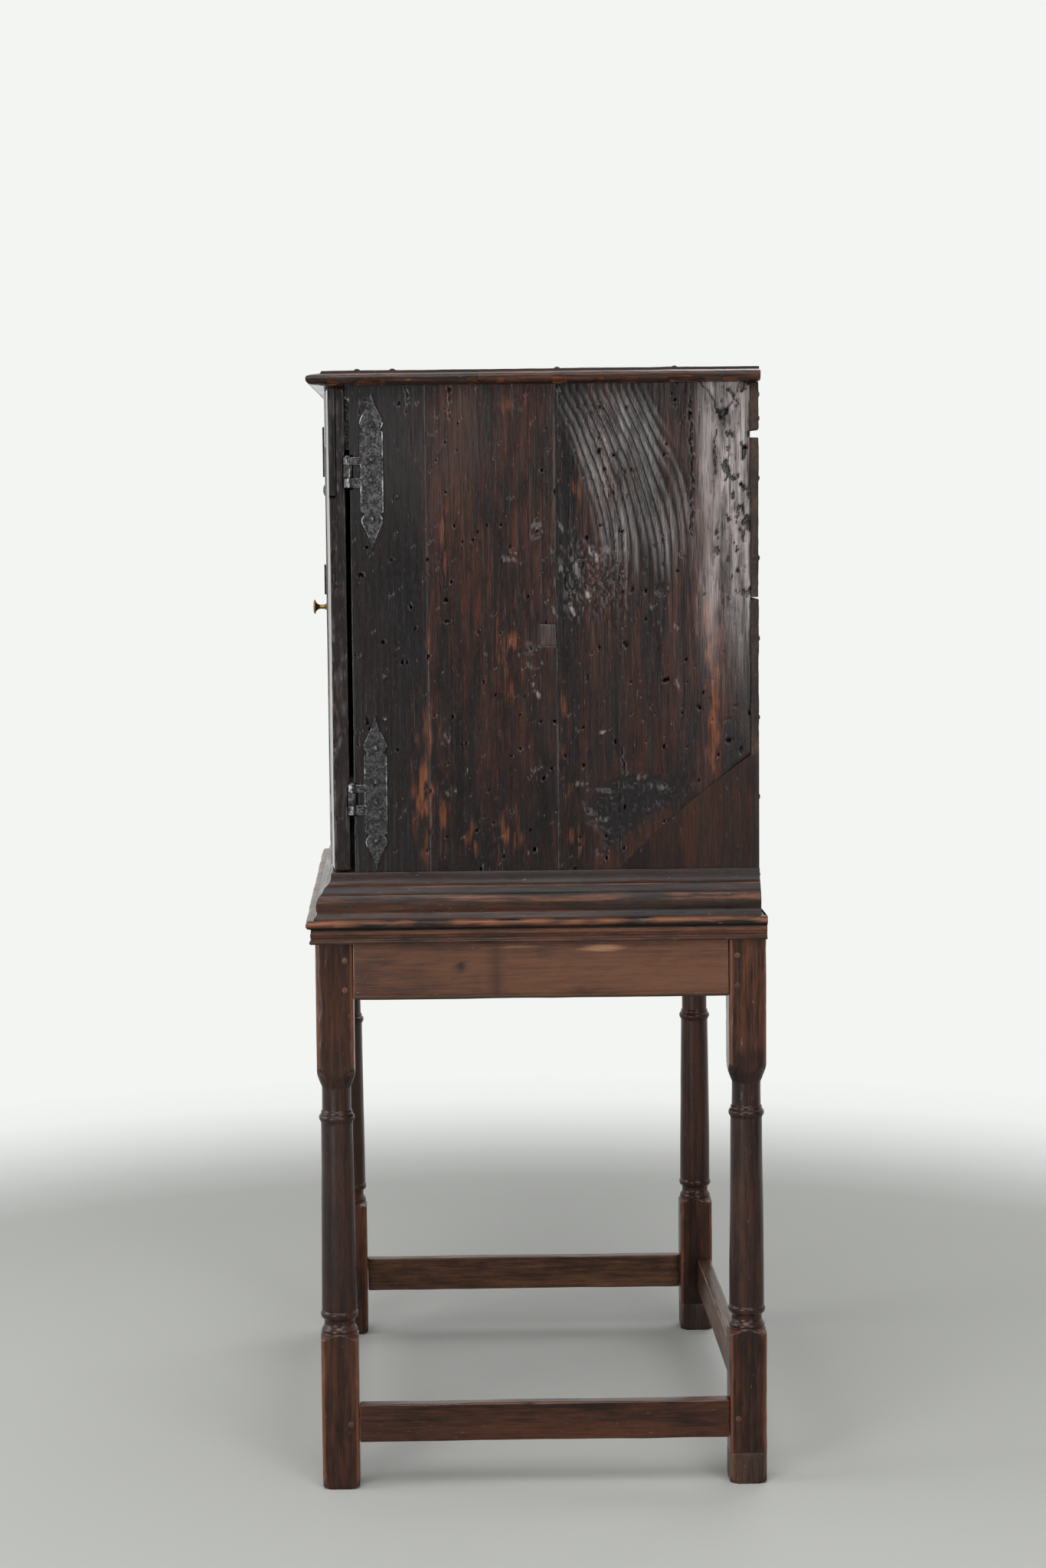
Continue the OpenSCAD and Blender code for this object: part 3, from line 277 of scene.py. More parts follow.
def worn_block(low: Sequence[float], high: Sequence[float], wear: Wear, seed: int,
               pitch: float = 5.0) -> Shape:
    """Makes a board whose arrises are rounded and whose faces are uneven.

    A point p of the block's outside is drawn to q, the nearest point of a block smaller by the
    radius all round, and put back at q plus the radius along p - q; noise stretched along the
    grain then moves it along p - q.

    Args:
        low: Lowest corner in millimetres.
        high: Highest corner in millimetres.
        wear: How the board has worn.
        seed: Number that picks the pattern.
        pitch: Distance between grid lines across the grain.

    Returns:
        The board, with the mark "edge" rising to 1 on its arrises.
    """
    low, high = np.asarray(low, float), np.asarray(high, float)
    r = min(wear.radius, 0.45 * float((high - low).min()))
    pitches = [pitch * (2.2 if a == wear.grain else 1.0) for a in range(3)]
    lines = [steps(low[a], high[a], pitches[a], r) for a in range(3)]
    triples, quads = lattice(tuple(len(x) for x in lines))
    p = np.stack([lines[a][triples[:, a]] for a in range(3)], axis=1)
    long = np.array([1.0, 1.0, 1.0])
    long[wear.grain] = 7.0
    soft = r * (0.75 + 0.5 * cell_noise(p / 37.0 + seed, seed))[:, None]
    soft = np.minimum(soft, 0.49 * (high - low).min())
    q = np.clip(p, low + soft, high - soft)
    d = p - q
    length = np.linalg.norm(d, axis=1)
    n = d / length[:, None]
    edge = smooth(length / soft[:, 0], 1.02, 1.28)
    swell = wear.wave * rough(p, 55.0 * long ** 0.5, seed + 3) - wear.wave * 0.4
    fine = wear.ridges * rough(p, 5.0 * long, seed + 5)
    chip = wear.chips * edge * smooth(rough(p, (17, 17, 17), seed + 8), 0.1, 0.6)
    out = q + n * (soft + (swell + fine - chip)[:, None])
    return Shape(out, [quads], {"edge": edge, "board": np.full(len(p), seed * 0.37)})


def moulded_slab(lines: Sequence[np.ndarray], profile: np.ndarray, low: Sequence[float],
                 high: Sequence[float], ends: tuple[int, int, int, int]) -> Shape:
    """Makes a slab whose edges follow a profile of insets and heights.

    Row k of the block of grid points lies at the profile's height k, and its outline is drawn
    in by the profile's inset k on each side that is moulded, the rest of the row in proportion.

    Args:
        lines: Shares from 0 to 1 along X and Y.
        profile: Pairs of inset and height, from the underside to the top.
        low: Lowest X and Y.
        high: Highest X and Y.
        ends: 1 where the sides at low X, high X, low Y and high Y are moulded, else 0.

    Returns:
        The slab, with the mark "side": 1 on the points of its moulded sides.
    """
    triples, quads = lattice((len(lines[0]), len(lines[1]), len(profile)))
    inset, z = profile[triples[:, 2], 0], profile[triples[:, 2], 1]
    sx, sy = lines[0][triples[:, 0]], lines[1][triples[:, 1]]
    x0, x1 = low[0] + inset * ends[0], high[0] - inset * ends[1]
    y0, y1 = low[1] + inset * ends[2], high[1] - inset * ends[3]
    p = np.stack([x0 + sx * (x1 - x0), y0 + sy * (y1 - y0), z], axis=1)
    side = np.maximum(np.maximum((sx == 0) * ends[0], (sx == 1) * ends[1]),
                      np.maximum((sy == 0) * ends[2], (sy == 1) * ends[3]))
    return Shape(p, [quads], {"side": side.astype(float)})


def shares(length: float, pitch: float) -> np.ndarray:
    """Returns even shares from 0 to 1, about a pitch apart over a length."""
    return np.linspace(0.0, 1.0, max(2, int(round(length / pitch)) + 1))


def grid_quads(n: int, m: int, round_i: bool = True, round_j: bool = False) -> np.ndarray:
    """Lists the quads of a grid of n by m points, where point (i, j) has the index i m + j.

    Args:
        n: Number of points along i.
        m: Number of points along j.
        round_i: Whether the last i joins the first.
        round_j: Whether the last j joins the first.

    Returns:
        Quads (i, j), (i + 1, j), (i + 1, j + 1), (i, j + 1).
    """
    i, j = np.mgrid[:n - 1 + round_i, :m - 1 + round_j].reshape(2, -1)
    k, l = (i + 1) % n, (j + 1) % m
    return np.stack([i * m + j, k * m + j, k * m + l, i * m + l], axis=1)


def run_of_moulding(profile: np.ndarray, start: np.ndarray, end: np.ndarray, pitch: float,
                    place: Mapping) -> Shape:
    """Carries a closed profile along a straight run, with its own start and end for each point.

    Point (i, j) lies at profile point j, the share i of the way from start j to end j, and the
    two ends are closed with one face each.

    Args:
        profile: Pairs of projection and height round the moulding.
        start: Where each profile point starts along the run.
        end: Where each profile point ends.
        pitch: Distance between two sections.
        place: Turns run, projection and height into X, Y and Z.

    Returns:
        The moulding.
    """
    s = shares(float((end - start).max()), pitch)
    n, m = len(s), len(profile)
    along = start + s[:, None] * (end - start)
    out, up = np.tile(profile, (n, 1)).T
    caps = [np.arange(m)[None, ::-1], (n - 1) * m + np.arange(m)[None, :]]
    quads = grid_quads(n, m, False, True)[:, [0, 3, 2, 1]]
    return Shape(np.stack(place(along.ravel(), out, up), axis=1), [quads] + caps)


def outward(shape: Shape) -> Shape:
    """Turns all faces round when the volume they enclose comes out negative.

    Args:
        shape: A closed shape.

    Returns:
        The same shape, with its faces pointing outwards.
    """
    p = shape.points - shape.points.mean(0)
    total = 0.0
    for f in shape.faces:
        for k in range(1, f.shape[1] - 1):
            total += float(np.einsum("ij,ij->i", p[f[:, 0]], np.cross(p[f[:, k]], p[f[:, k + 1]])).sum())
    if total < 0:
        shape.faces = [f[:, ::-1] for f in shape.faces]
    return shape


def around(ring: np.ndarray, count: int) -> np.ndarray:
    """Turns pairs of radius and height about Z: point (i, j) is pair j at angle i of count.

    Args:
        ring: Pairs of radius and height.
        count: Number of angles.

    Returns:
        Points, angle by angle.
    """
    a = np.repeat(np.linspace(0, 2 * math.pi, count, endpoint=False), len(ring))
    r, z = np.tile(ring, (count, 1)).T
    return np.stack([r * np.cos(a), r * np.sin(a), z], axis=1)


def with_poles(p: np.ndarray, count: int, low: float, high: float) -> Shape:
    """Closes a grid that runs round Z with one point on the axis below it and one above it.

    Args:
        p: Points (i, j), with i the number of the column.
        count: Number of columns.
        low: Height of the lower pole.
        high: Height of the upper pole.

    Returns:
        The closed shape.
    """
    m = len(p) // count
    i = np.arange(count)
    k = (i + 1) % count
    foot = np.stack([k * m, i * m, np.full(count, len(p))], axis=1)
    head = np.stack([i * m + m - 1, k * m + m - 1, np.full(count, len(p) + 1)], axis=1)
    return Shape(np.concatenate([p, [[0, 0, low], [0, 0, high]]]), [grid_quads(count, m), foot, head])


def turned_shape(profile: np.ndarray, count: int) -> Shape:
    """Turns a profile of radius and height, with radius 0 first and last, about Z."""
    return with_poles(around(profile[1:-1], count), count, profile[0, 1], profile[-1, 1])


def tube(ring: np.ndarray, count: int) -> Shape:
    """Turns a closed ring of radius and height about Z: both directions of the grid close."""
    return outward(Shape(around(ring, count), [grid_quads(count, len(ring), True, True)]))


def sheet_board(ys: np.ndarray, low: np.ndarray, high: np.ndarray, rows: int,
                face: Callable[[np.ndarray, np.ndarray], np.ndarray], back: float,
                outer: float) -> Shape:
    """Makes an upright board whose outer face is a fine grid and whose back is one flat face.

    Grid point (i, j) lies at y i and at the share j between the lower and upper edge at that y;
    its x is the outer face moved by the height given by face. A skirt closes it to the back.

    Args:
        ys: Grid lines across the board.
        low: Height of the lower edge at each line.
        high: Height of the upper edge at each line.
        rows: Number of grid lines up the board.
        face: Height of the surface over the outer face at arrays of y and z.
        back: X of the back.
        outer: X of the outer face.

    Returns:
        The board.
    """
    n, m = len(ys), rows
    y = np.repeat(ys, m)
    z = (low[:, None] + np.linspace(0, 1, m) * (high - low)[:, None]).ravel()
    front = np.stack([outer + face(y, z), y, z], axis=1)
    rim = np.concatenate([np.arange(n) * m, (n - 1) * m + np.arange(1, m),
                          np.arange(n - 2, -1, -1) * m + m - 1, np.arange(m - 2, 0, -1)])
    behind = front[rim] * (0, 1, 1) + (back, 0, 0)
    under = n * m + np.arange(len(rim))
    skirt = np.stack([rim, under, np.roll(under, -1), np.roll(rim, -1)], axis=1)
    return Shape(np.concatenate([front, behind]), [grid_quads(n, m, False), skirt, under[None, ::-1]])


def arc(x: float, z: float, rx: float, rz: float, first: float, last: float, count: int) -> list:
    """Lists points of the ellipse about x, z with radii rx, rz, from one angle in degrees to another."""
    t = np.radians(np.linspace(first, last, count))
    return list(zip(x + rx * np.cos(t), z + rz * np.sin(t)))


# Finishes

def linear(code: str) -> tuple[float, float, float, float]:
    """Turns an sRGB hex code into linear red, green, blue and an alpha of 1."""
    raw = [int(code.lstrip("#")[i:i + 2], 16) / 255 for i in (0, 2, 4)]
    rgb = [c / 12.92 if c <= 0.04045 else ((c + 0.055) / 1.055) ** 2.4 for c in raw]
    return (rgb[0], rgb[1], rgb[2], 1.0)


class Kind(Enum):
    """Kinds of node: Blender's type, its settings, the inputs that are given in turn, the output."""

    OBJECT_PLACE = ("TexCoord", {}, (), "Object")
    WAY = ("TexCoord", {}, (), "Generated")
    MARK = ("Attribute", {}, (), "Fac")
    JOIN = ("CombineXYZ", {}, (0, 1, 2), 0)
    X_OF = ("SeparateXYZ", {}, (0,), "X")
    Z_OF = ("SeparateXYZ", {}, (0,), "Z")
    STRETCH = ("VectorMath", {"operation": "MULTIPLY"}, (0, 1), 0)
    SHIFT = ("VectorMath", {"operation": "MULTIPLY_ADD"}, (0, 1, 2), 0)
    TIMES = ("Math", {"operation": "MULTIPLY"}, (0, 1), 0)
    TIMES_PLUS = ("Math", {"operation": "MULTIPLY_ADD"}, (0, 1, 2), 0)
    LARGER = ("Math", {"operation": "MAXIMUM"}, (0, 1), 0)
    SPAN = ("MapRange", {}, ("Value", "From Min", "From Max", "To Min", "To Max"), 0)
    NOISE = ("TexNoise", {}, ("Vector", "Scale", "Detail", "Roughness", "Distortion"), "Fac")
    CELLS = ("TexVoronoi", {}, ("Vector", "Scale"), "Distance")
    MIX = ("Mix", {"data_type": "RGBA"}, (0, 6, 7), 2)
    BUMP = ("Bump", {}, ("Height", "Strength", "Distance"), 0)
    GLOW = ("Emission", {}, ("Color", "Strength"), 0)
    EITHER = ("MixShader", {}, (0, 1, 2), 0)
    CAMERA_RAY = ("LightPath", {}, (), "Is Camera Ray")
    MIRRORED_RAY = ("LightPath", {}, (), "Is Glossy Ray")
    SENT_ON_RAY = ("LightPath", {}, (), "Is Transmission Ray")


def fill(node: bpy.types.Node, inputs: dict[int | str, object]) -> None:
    """Links each input of a node to the socket that is given for it, or sets it to the value.

    Args:
        node: The node.
        inputs: Socket or value for each input, by its number or name.
    """
    for key, value in inputs.items():
        if isinstance(value, bpy.types.NodeSocket):
            node.id_data.links.new(value, node.inputs[key])
        else:
            node.inputs[key].default_value = value


def add_node(tree: bpy.types.NodeTree, kind: Kind, *inputs: object,
             **settings: object) -> bpy.types.NodeSocket:
    """Adds a node, sets its properties and fills its inputs.

    Args:
        tree: Node tree it goes into.
        kind: What kind of node it is.
        inputs: Values or output sockets for the kind's inputs, in turn.
        settings: Further properties of the node by name.

    Returns:
        Its output.
    """
    name, fixed, keys, output = kind.value
    node = tree.nodes.new("ShaderNode" + name)
    for key, value in {**fixed, **settings}.items():
        setattr(node, key, value)
    fill(node, dict(zip(keys, inputs)))
    return node.outputs[output]


def layered(add: Adder, base: object, layers: Sequence[tuple[object, str]]) -> bpy.types.NodeSocket:
    """Lays colours over a base one after another, each by its own share.

    Args:
        add: Adds a node to the tree.
        base: The lowest colour.
        layers: Pairs of share and hex code.

    Returns:
        The colour that is seen.
    """
    for share, code in layers:
        base = add(Kind.MIX, share, base, linear(code))
    return base


def blank_material(name: str) -> tuple[bpy.types.Material, Adder, bpy.types.Node]:
    """Starts a material; returns it with a function that adds a node to it, and its shader."""
    mat = bpy.data.materials.new(name)
    mat.use_nodes = True
    return mat, partial(add_node, mat.node_tree), mat.node_tree.nodes["Principled BSDF"]


class Grain(Enum):
    """Axis along which the grain of a board runs."""

    ACROSS = 0
    DEEP = 1
    UP = 2


@dataclass(frozen=True)
class OldOak:
    """Old oak with a dark waxed skin, rubbed to a warm brown on its arrises."""

    name: str
    dark: str
    body: str
    warm: str
    worn: str
    gloss: float = 0.42
    relief: float = 0.13
    # strength of the pale grey painted sheen, a painted reflection
    bloom: float = 0.7
    figure: float = 0.8

    @cache
    def material(self, grain: Grain) -> bpy.types.Material:
        """Builds the material for boards with this direction of grain.

        Patches of 90 mm and mottles of 22 mm shade the boards, lines of 5 mm and streaks of 1.6 mm
        (drawn wider than the real 0.4 mm pores so that they show) run along them, and small pale
        scratches and worm holes dot them; marks lay a pale grey painted sheen and dirt with painted shade on
        them.

        Args:
            grain: Direction of the grain.

        Returns:
            The material, made once for each direction.
        """
        mat, add, shader = blank_material(f"{self.name}_{grain.name.lower()}")
        mark = {key: add(Kind.MARK, attribute_name=key)
                for key in ("board", "wear", "edge", "grime", "bloom", "slick")}
        offset = add(Kind.JOIN, *[mark["board"]] * 3)
        place = add(Kind.SHIFT, offset, (1.7, 2.3, 3.1), add(Kind.OBJECT_PLACE))
        along, fine, short = (add(Kind.STRETCH, place, [share if a == grain.value else 1.0 for a in range(3)])
                              for share in (0.11, 0.0385, 0.3))
        patches = add(Kind.NOISE, along, 11.0, 4.0, 0.6, 0.3)
        mottles = add(Kind.NOISE, short, 60.0, 5.0, 0.72, 0.4)
        lines = add(Kind.NOISE, fine, 200.0, 5.0, 0.72, 0.15)
        streaks = add(Kind.NOISE, fine, 640.0, 3.0, 0.65, 0.0)
        dots = add(Kind.NOISE, short, 330.0, 2.0, 0.5, 0.3)
        hole = add(Kind.SPAN, add(Kind.CELLS, place, 25.0), 0.016, 0.028)
        tone = add(Kind.TIMES_PLUS, lines, 0.6, patches)
        tone = add(Kind.TIMES_PLUS, streaks, 0.45, add(Kind.TIMES_PLUS, mottles, 0.5, tone))
        amount = add(Kind.LARGER, mark["wear"], add(Kind.TIMES, mark["edge"], 0.7))
        broken = add(Kind.TIMES_PLUS, lines, 1.2, add(Kind.TIMES, mottles, 0.6))
        broken = add(Kind.TIMES_PLUS, streaks, 0.8, broken)
        spread = 0.6 * (0.4 + 0.8 * self.figure)
        broken = add(Kind.SPAN, broken, 0.7, 1.9, 1.25 - spread, 1.25 + spread)
        rubbed = add(Kind.SPAN, add(Kind.TIMES_PLUS, amount, 1.5, broken), 1.65, 2.35)
        # share of the painted sheen that shows, broken up along the grain
        pale = add(Kind.SPAN, broken, 1.0, 1.3, self.bloom * 0.5, self.bloom)
        pores = add(Kind.SPAN, streaks, 0.34, 0.5, self.figure, 0.0)
        colour = layered(add, linear(self.dark), (
            (add(Kind.SPAN, tone, 1.1, 1.27), self.body),
            (add(Kind.SPAN, tone, 1.25, 1.44), self.warm),
            (add(Kind.SPAN, lines, 0.38, 0.5, self.figure, 0.0), self.dark),
            (add(Kind.TIMES, rubbed, 0.9), self.worn),
            # dirt, and painted shade in hollows, troughs and round the ironwork
            (mark["grime"], "#141314"),
            # painted sheen: pale grey standing in for reflected light
            (add(Kind.TIMES, mark["bloom"], pale), "#a39b99"),
            (pores, self.dark),
            (add(Kind.TIMES, add(Kind.SPAN, dots, 0.7, 0.76), 0.35), "#7a706b"),
            (add(Kind.SPAN, hole, 0.0, 1.0, 0.9, 0.0), "#080606")))
        sheen = add(Kind.SPAN, lines, 0.35, 0.65, self.gloss + 0.08, self.gloss - 0.08)
        sheen = add(Kind.TIMES_PLUS, mark["slick"], -0.14, add(Kind.TIMES_PLUS, pores, 0.12, sheen))
        height = add(Kind.TIMES_PLUS, mottles, 3.0, add(Kind.TIMES_PLUS, lines, 2.6, streaks))
        height = add(Kind.TIMES_PLUS, hole, 0.3, height)
        strength = add(Kind.SPAN, mark["slick"], 0.0, 1.0, 1.0, 0.0)
        fill(shader, {"Base Color": colour, "Roughness": sheen, "IOR": 1.45, "Specular IOR Level": 0.28,
                      "Normal": add(Kind.BUMP, height, strength, self.relief * MM)})
        mat.diffuse_color = linear(self.body)
        return mat


CASE_OAK = OldOak("waxed_blackened_oak", "#0b0a0a", "#201614", "#3c231a", "#704028", 0.24, figure=0.7)
TOP_OAK = OldOak("rubbed_top_oak", "#120d0b", "#2b1c15", "#472a1e", "#7f4a2c", 0.26, figure=0.5)
BASE_OAK = OldOak("rubbed_moulding_oak", "#130c09", "#281910", "#432517", "#784930", 0.4, 0.08, figure=0.3)
RAIL_OAK = OldOak("faded_rail_oak", "#33231a", "#492f23", "#5a3b2a", "#87644a", 0.4, 0.1, figure=0.15)
# painted light: a lighter copy of the stretcher oak for the lit left and back stretchers
LIT_OAK = OldOak("faded_stretcher_oak", "#2f1f16", "#513626", "#62422e", "#80593f", 0.32, 0.08, figure=0.25)
LEG_OAK = OldOak("dark_turned_oak", "#190e0a", "#311c14", "#45281b", "#6f432d", 0.26, 0.07, figure=0.12)
TIP_OAK = OldOak("newer_foot_oak", "#241912", "#352620", "#443025", "#60432f", 0.4, 0.1, figure=0.4)
PATCH_OAK = OldOak("repair_oak", "#0e0807", "#1e120d", "#351c12", "#5b341c", 0.3, 0.1, figure=0.5)
DOOR_OAK = OldOak("waxed_door_oak", "#0f0c0b", "#261a16", "#3a261e", "#683e26", 0.24, figure=0.6)
INSIDE_OAK = OldOak("dry_inner_oak", "#241912", "#453123", "#57402d", "#705038", 0.6, figure=0.4)


@dataclass(frozen=True)
class HammeredIron:
    """Forged iron, oiled and sooty black: dark, pitted, rubbed to grey on its edges."""

    name: str = "wrought_blackened_iron"
    body: str = "#454445"
    pit: str = "#040404"
    worn: str = "#a8a9ab"

    @cache
    def material(self) -> bpy.types.Material:
        """Builds the metal: hammer marks of 8 mm and pits of 3 mm in its bump and its gloss.

        Returns:
            The material, made once.
        """
        mat, add, shader = blank_material(self.name)
        place = add(Kind.OBJECT_PLACE)
        edge, soot_and_shade = (add(Kind.MARK, attribute_name=key) for key in ("edge", "grime"))
        dents = add(Kind.NOISE, place, 130.0, 3.0, 0.65, 0.2)
        pits = add(Kind.NOISE, place, 300.0, 3.0, 0.7, 0.0)
        raised = add(Kind.SPAN, add(Kind.TIMES_PLUS, dents, 0.8, pits), 0.82, 1.02)
        rubbed = add(Kind.SPAN, add(Kind.TIMES_PLUS, edge, 0.9, pits), 0.72, 1.3)
        # the last layer is near-black for sooty dirt and painted shade: leaf outlines, grooves, rings round
        # nails
        colour = layered(add, linear(self.pit), ((raised, self.body), (rubbed, self.worn), (soot_and_shade, "#0b0a0a")))
        relief = add(Kind.BUMP, add(Kind.TIMES_PLUS, dents, 1.5, pits), 1.0, 0.6 * MM)
        fill(shader, {"Base Color": colour, "Roughness": add(Kind.SPAN, pits, 0.4, 0.6, 0.7, 0.36),
                      "Normal": relief, "Metallic": 0.4})
        return mat


@dataclass(frozen=True)
class AgedBrass:
    """Turned brass, rubbed bright where it is held and brown in its hollows."""

    name: str = "aged_turned_brass"
    body: str = "#a8884e"
    dull: str = "#6b5330"

    @cache
    def material(self) -> bpy.types.Material:
        """Builds the metal: stains of 6 mm in its colour and its gloss.

        Returns:
            The material, made once.
        """
        mat, add, shader = blank_material(self.name)
        stain = add(Kind.NOISE, add(Kind.OBJECT_PLACE), 160.0, 3.0, 0.6, 0.2)
        colour = layered(add, linear(self.body), ((add(Kind.SPAN, stain, 0.4, 0.65), self.dull),))
        fill(shader, {"Base Color": colour, "Roughness": add(Kind.SPAN, stain, 0.3, 0.7, 0.22, 0.42),
                      "Metallic": 1.0})
        return mat


IRON = HammeredIron()
BRASS = AgedBrass()


def corners(node: str) -> tuple[np.ndarray, np.ndarray]:
    """Returns the lowest and the highest corner of a solid in millimetres."""
    low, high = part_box(node)
    return np.array(low) / MM, np.array(high) / MM


def settle(shape: Shape, name: str, body: str, nodes: Sequence[str],
           material: bpy.types.Material, angle: float = 40.0) -> bpy.types.Object:
    """Makes a piece of the object from a shape, on its body, in place of its solids.

    Args:
        shape: The piece in millimetres.
        name: Name of the piece.
        body: Body it moves with.
        nodes: Solids that it stands for.
        material: Its finish.
        angle: Sharpest smooth bend in degrees.

    Returns:
        The new object.
    """
    obj = shape.made(name, angle)
    obj.data.materials.append(material)
    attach(obj, body)
    if nodes:
        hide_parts(*nodes)
    LOG.info("%s: %d points", name, len(shape.points))
    return obj


def dress(node: str, material: bpy.types.Material) -> None:
    """Gives a solid that stays its finish.

    Args:
        node: Name of the solid.
        material: The finish.
    """
    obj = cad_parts[node]
    obj.data.materials.clear()
    obj.data.materials.append(material)


# Stand

@dataclass
class Stand:
    """Four turned legs, pegged rails and stretchers, and the moulded board on top."""

    leg: float = 51.0
    block: float = 212.0
    tip: float = 43.0
    ring_z: float = 230.0
    neck_z: float = 501.0
    top: float = 757.5
    points_round: int = 88
    shoulder: float = 551.0
    squareness: float = 11.0
    peg_inset: float = 14.0
    peg_heights: tuple = (682.0, 722.0, 90.0)

    def turned_radius(self) -> np.ndarray:
        """Lists radius and height of the turned part, finely enough for its rings.

        Returns:
            Array of pairs from the floor to the top.
        """
        z, n, b, s = self.ring_z, self.neck_z, self.block, self.shoulder
        half = self.leg / 2
        foot = ((1.14, 0), (1.27, 4), (1.40, 16), (1.5, 24), (1.5, b - 9), (1.36, b - 6.5),
                (1.2, b - 4), (1.03, b - 1.2), (1, b))
        body = [(half * a, c) for a, c in foot]
        body += [(half - 1.5, b + 0.8), (half - 1.7, b + 1.6), (half - 0.8, b + 3), (half - 1.2, b + 5.2)]
        body += arc(23.9, z - 3.6, 3.4, 6.6, 250, 110, 9)
        body += [(23.2, z + 1.7), (24.0, z + 2.4)] + arc(21.8, z + 8, 3.5, 5.4, -40, 60, 9)
        body += [(23.4, z + 13.2), (23.9, z + 14.4), (23.8, z + 22), (23.7, z + 74), (23.3, z + 110)]
        body += [(22.7, (z + n) / 2 + 30), (22.0, n - 60), (21.5, n - 1.4), (21.7, n - 0.4), (22.2, n)]
        body += arc(20.3, n + 5.6, 4, 5.2, -70, 70, 9)
        body += [(21.8, n + 11.0), (21.4, n + 11.9), (21.3, n + 14.4), (20.6, n + 15.0), (19.9, n + 16)]
        body += [(19.7, s - 14), (19.8, s - 2), (20.8, s), (22.4, s + 4), (24.4, s + 9.5), (27.0, s + 15),
                 (30.2, s + 20), (34.0, s + 25), (38.3, s + 30), (38.3, self.top)]
        return np.array(body)

    def leg_shape(self, low: float, high: float, seed: int, foot: float) -> Shape:
        """Lofts a leg: at each height the radius is the smaller of the square's and the turning's.

        The square's radius at angle a is half over the larger of |cos a| and |sin a|, eased to a
        worn arris by a norm of the power 11; noise stretched along the leg moves it in and out.

        Args:
            low: Height of its lower end.
            high: Height of its upper end.
            seed: Number that picks the wear.
            foot: How much the lower arrises are rounded off.

        Returns:
            The leg about the Z axis.
        """
        table = self.turned_radius()
        dense = table[(table[:, 1] > low + 1) & (table[:, 1] < high - 1), 1]
        ends = [low, low + 1.2, low + 3, high - 1.2, high]
        zs = np.unique(np.round(np.concatenate([ends, dense, dense + 0.9, np.arange(low, high, 7.0)]), 2))
        zs = zs[(zs >= low) & (zs <= high)]
        zs = zs[np.concatenate([[True], np.diff(zs) > 0.35])]
        zs[-1] = high
        a = np.linspace(0, 2 * math.pi, self.points_round, endpoint=False) + math.pi / 4
        z, angle = (v.ravel() for v in np.meshgrid(zs, a))
        c, s, half = np.cos(angle), np.sin(angle), self.leg / 2
        square = half / (np.abs(c) ** self.squareness + np.abs(s) ** self.squareness) ** (1 / self.squareness)
        r = np.minimum(square, np.interp(z, table[:, 1], table[:, 0]))
        p = np.stack([c * 20, s * 20, z], axis=1)
        bump = 0.45 * rough(p, (26, 26, 120), seed) + 0.13 * rough(p, (5, 5, 60), seed + 4)
        corner = smooth(square / half, 1.2, 1.36) * (r >= square - 0.01)
        chip = 2.2 * corner * smooth(rough(p, (15, 15, 22), seed + 7), 0.15, 0.7)
        near_end = smooth(-z, -low - 6, -low) + smooth(z, high - 1.5, high)
        r = r + bump - 0.3 - chip - near_end * foot
        shape = with_poles(np.stack([r * c, r * s, z], axis=1), self.points_round, low, high)
        edge = unit(corner + 0.7 * smooth(np.abs(np.gradient(r)), 0.5, 2.0))
        shape.marks = {"edge": np.append(edge, [0, 0]), "board": np.full(len(shape.points), seed * 0.41)}
        return shape

    def legs(self) -> None:
        """Makes the four legs, and the new tips under the two at the back."""
        tips = []
        for number, (side, depth) in enumerate(product((1, -1), ("front", "back"))):
            name = f"leg_{depth}_{'right' if side > 0 else 'left'}"
            low, high = corners(name)
            at_back = depth == "back"
            middle = (low + high) / 2 * (1, 1, 0)
            foot, worn = (self.tip, 0.2) if at_back else (0.0, 1.4)
            shape = self.leg_shape(foot, self.top, 11 + number, worn)
            shape.points += middle
            _, y, z = shape.points.T
            # the turned shafts are darker from about 250 mm to 500 mm, fading out by 640 mm, the front legs
            # more so
            shaft = smooth(z, 205, 250) * (0.2 if at_back else 0.4) * smooth(-z, -640, -500)
            crack = (np.abs(y - 269.6 - 0.5 * np.sin(z / 9)) < 1.2) * (z > 669) * at_back
            shape.marks["grime"] = np.maximum(shaft, 0.85 * crack)
            shape.marks["wear"] = 0.34 * smooth(z, 560, 600) * at_back
            settle(shape, f"turned_{name}", "cabinet", [name], LEG_OAK.material(Grain.UP), 50)
            if at_back:
                tips.append(self.leg_shape(0.0, self.tip - 0.3, 31 + number, 0.5))
                tips[-1].points += middle
        settle(reduce(Shape.joined, tips), "new_foot_tips", "cabinet", ["foot_tips"],
               TIP_OAK.material(Grain.UP), 50)

    def bars(self) -> None:
        """Makes the rails and stretchers as worn boards between the legs."""
        for i, (kind, side) in enumerate(product(("rail", "stretcher"), ("front", "back", "right", "left"))):
            name, rail = f"{kind}_{side}", kind == "rail"
            low, high = corners(name)
            grain = Grain.DEEP if side in ("right", "left") else Grain.ACROSS
            low[grain.value] += 30.0
            high[grain.value] -= 30.0
            wear = Wear(1.8 if rail else 2.4, 0.9, 0.22, 1.2, grain.value)
            shape = worn_block(low, high, wear, 50 + i, 3.6)
            if rail:
                self.chamfered(shape, low)
            if name == "rail_right":
                self.weathered(shape)
            # the left and back stretchers take the lighter, lit copy of the stretcher oak
            finish = RAIL_OAK if rail else LIT_OAK if side in ("left", "back") else LEG_OAK
            settle(shape, f"worn_{name}", "cabinet", [name], finish.material(grain))

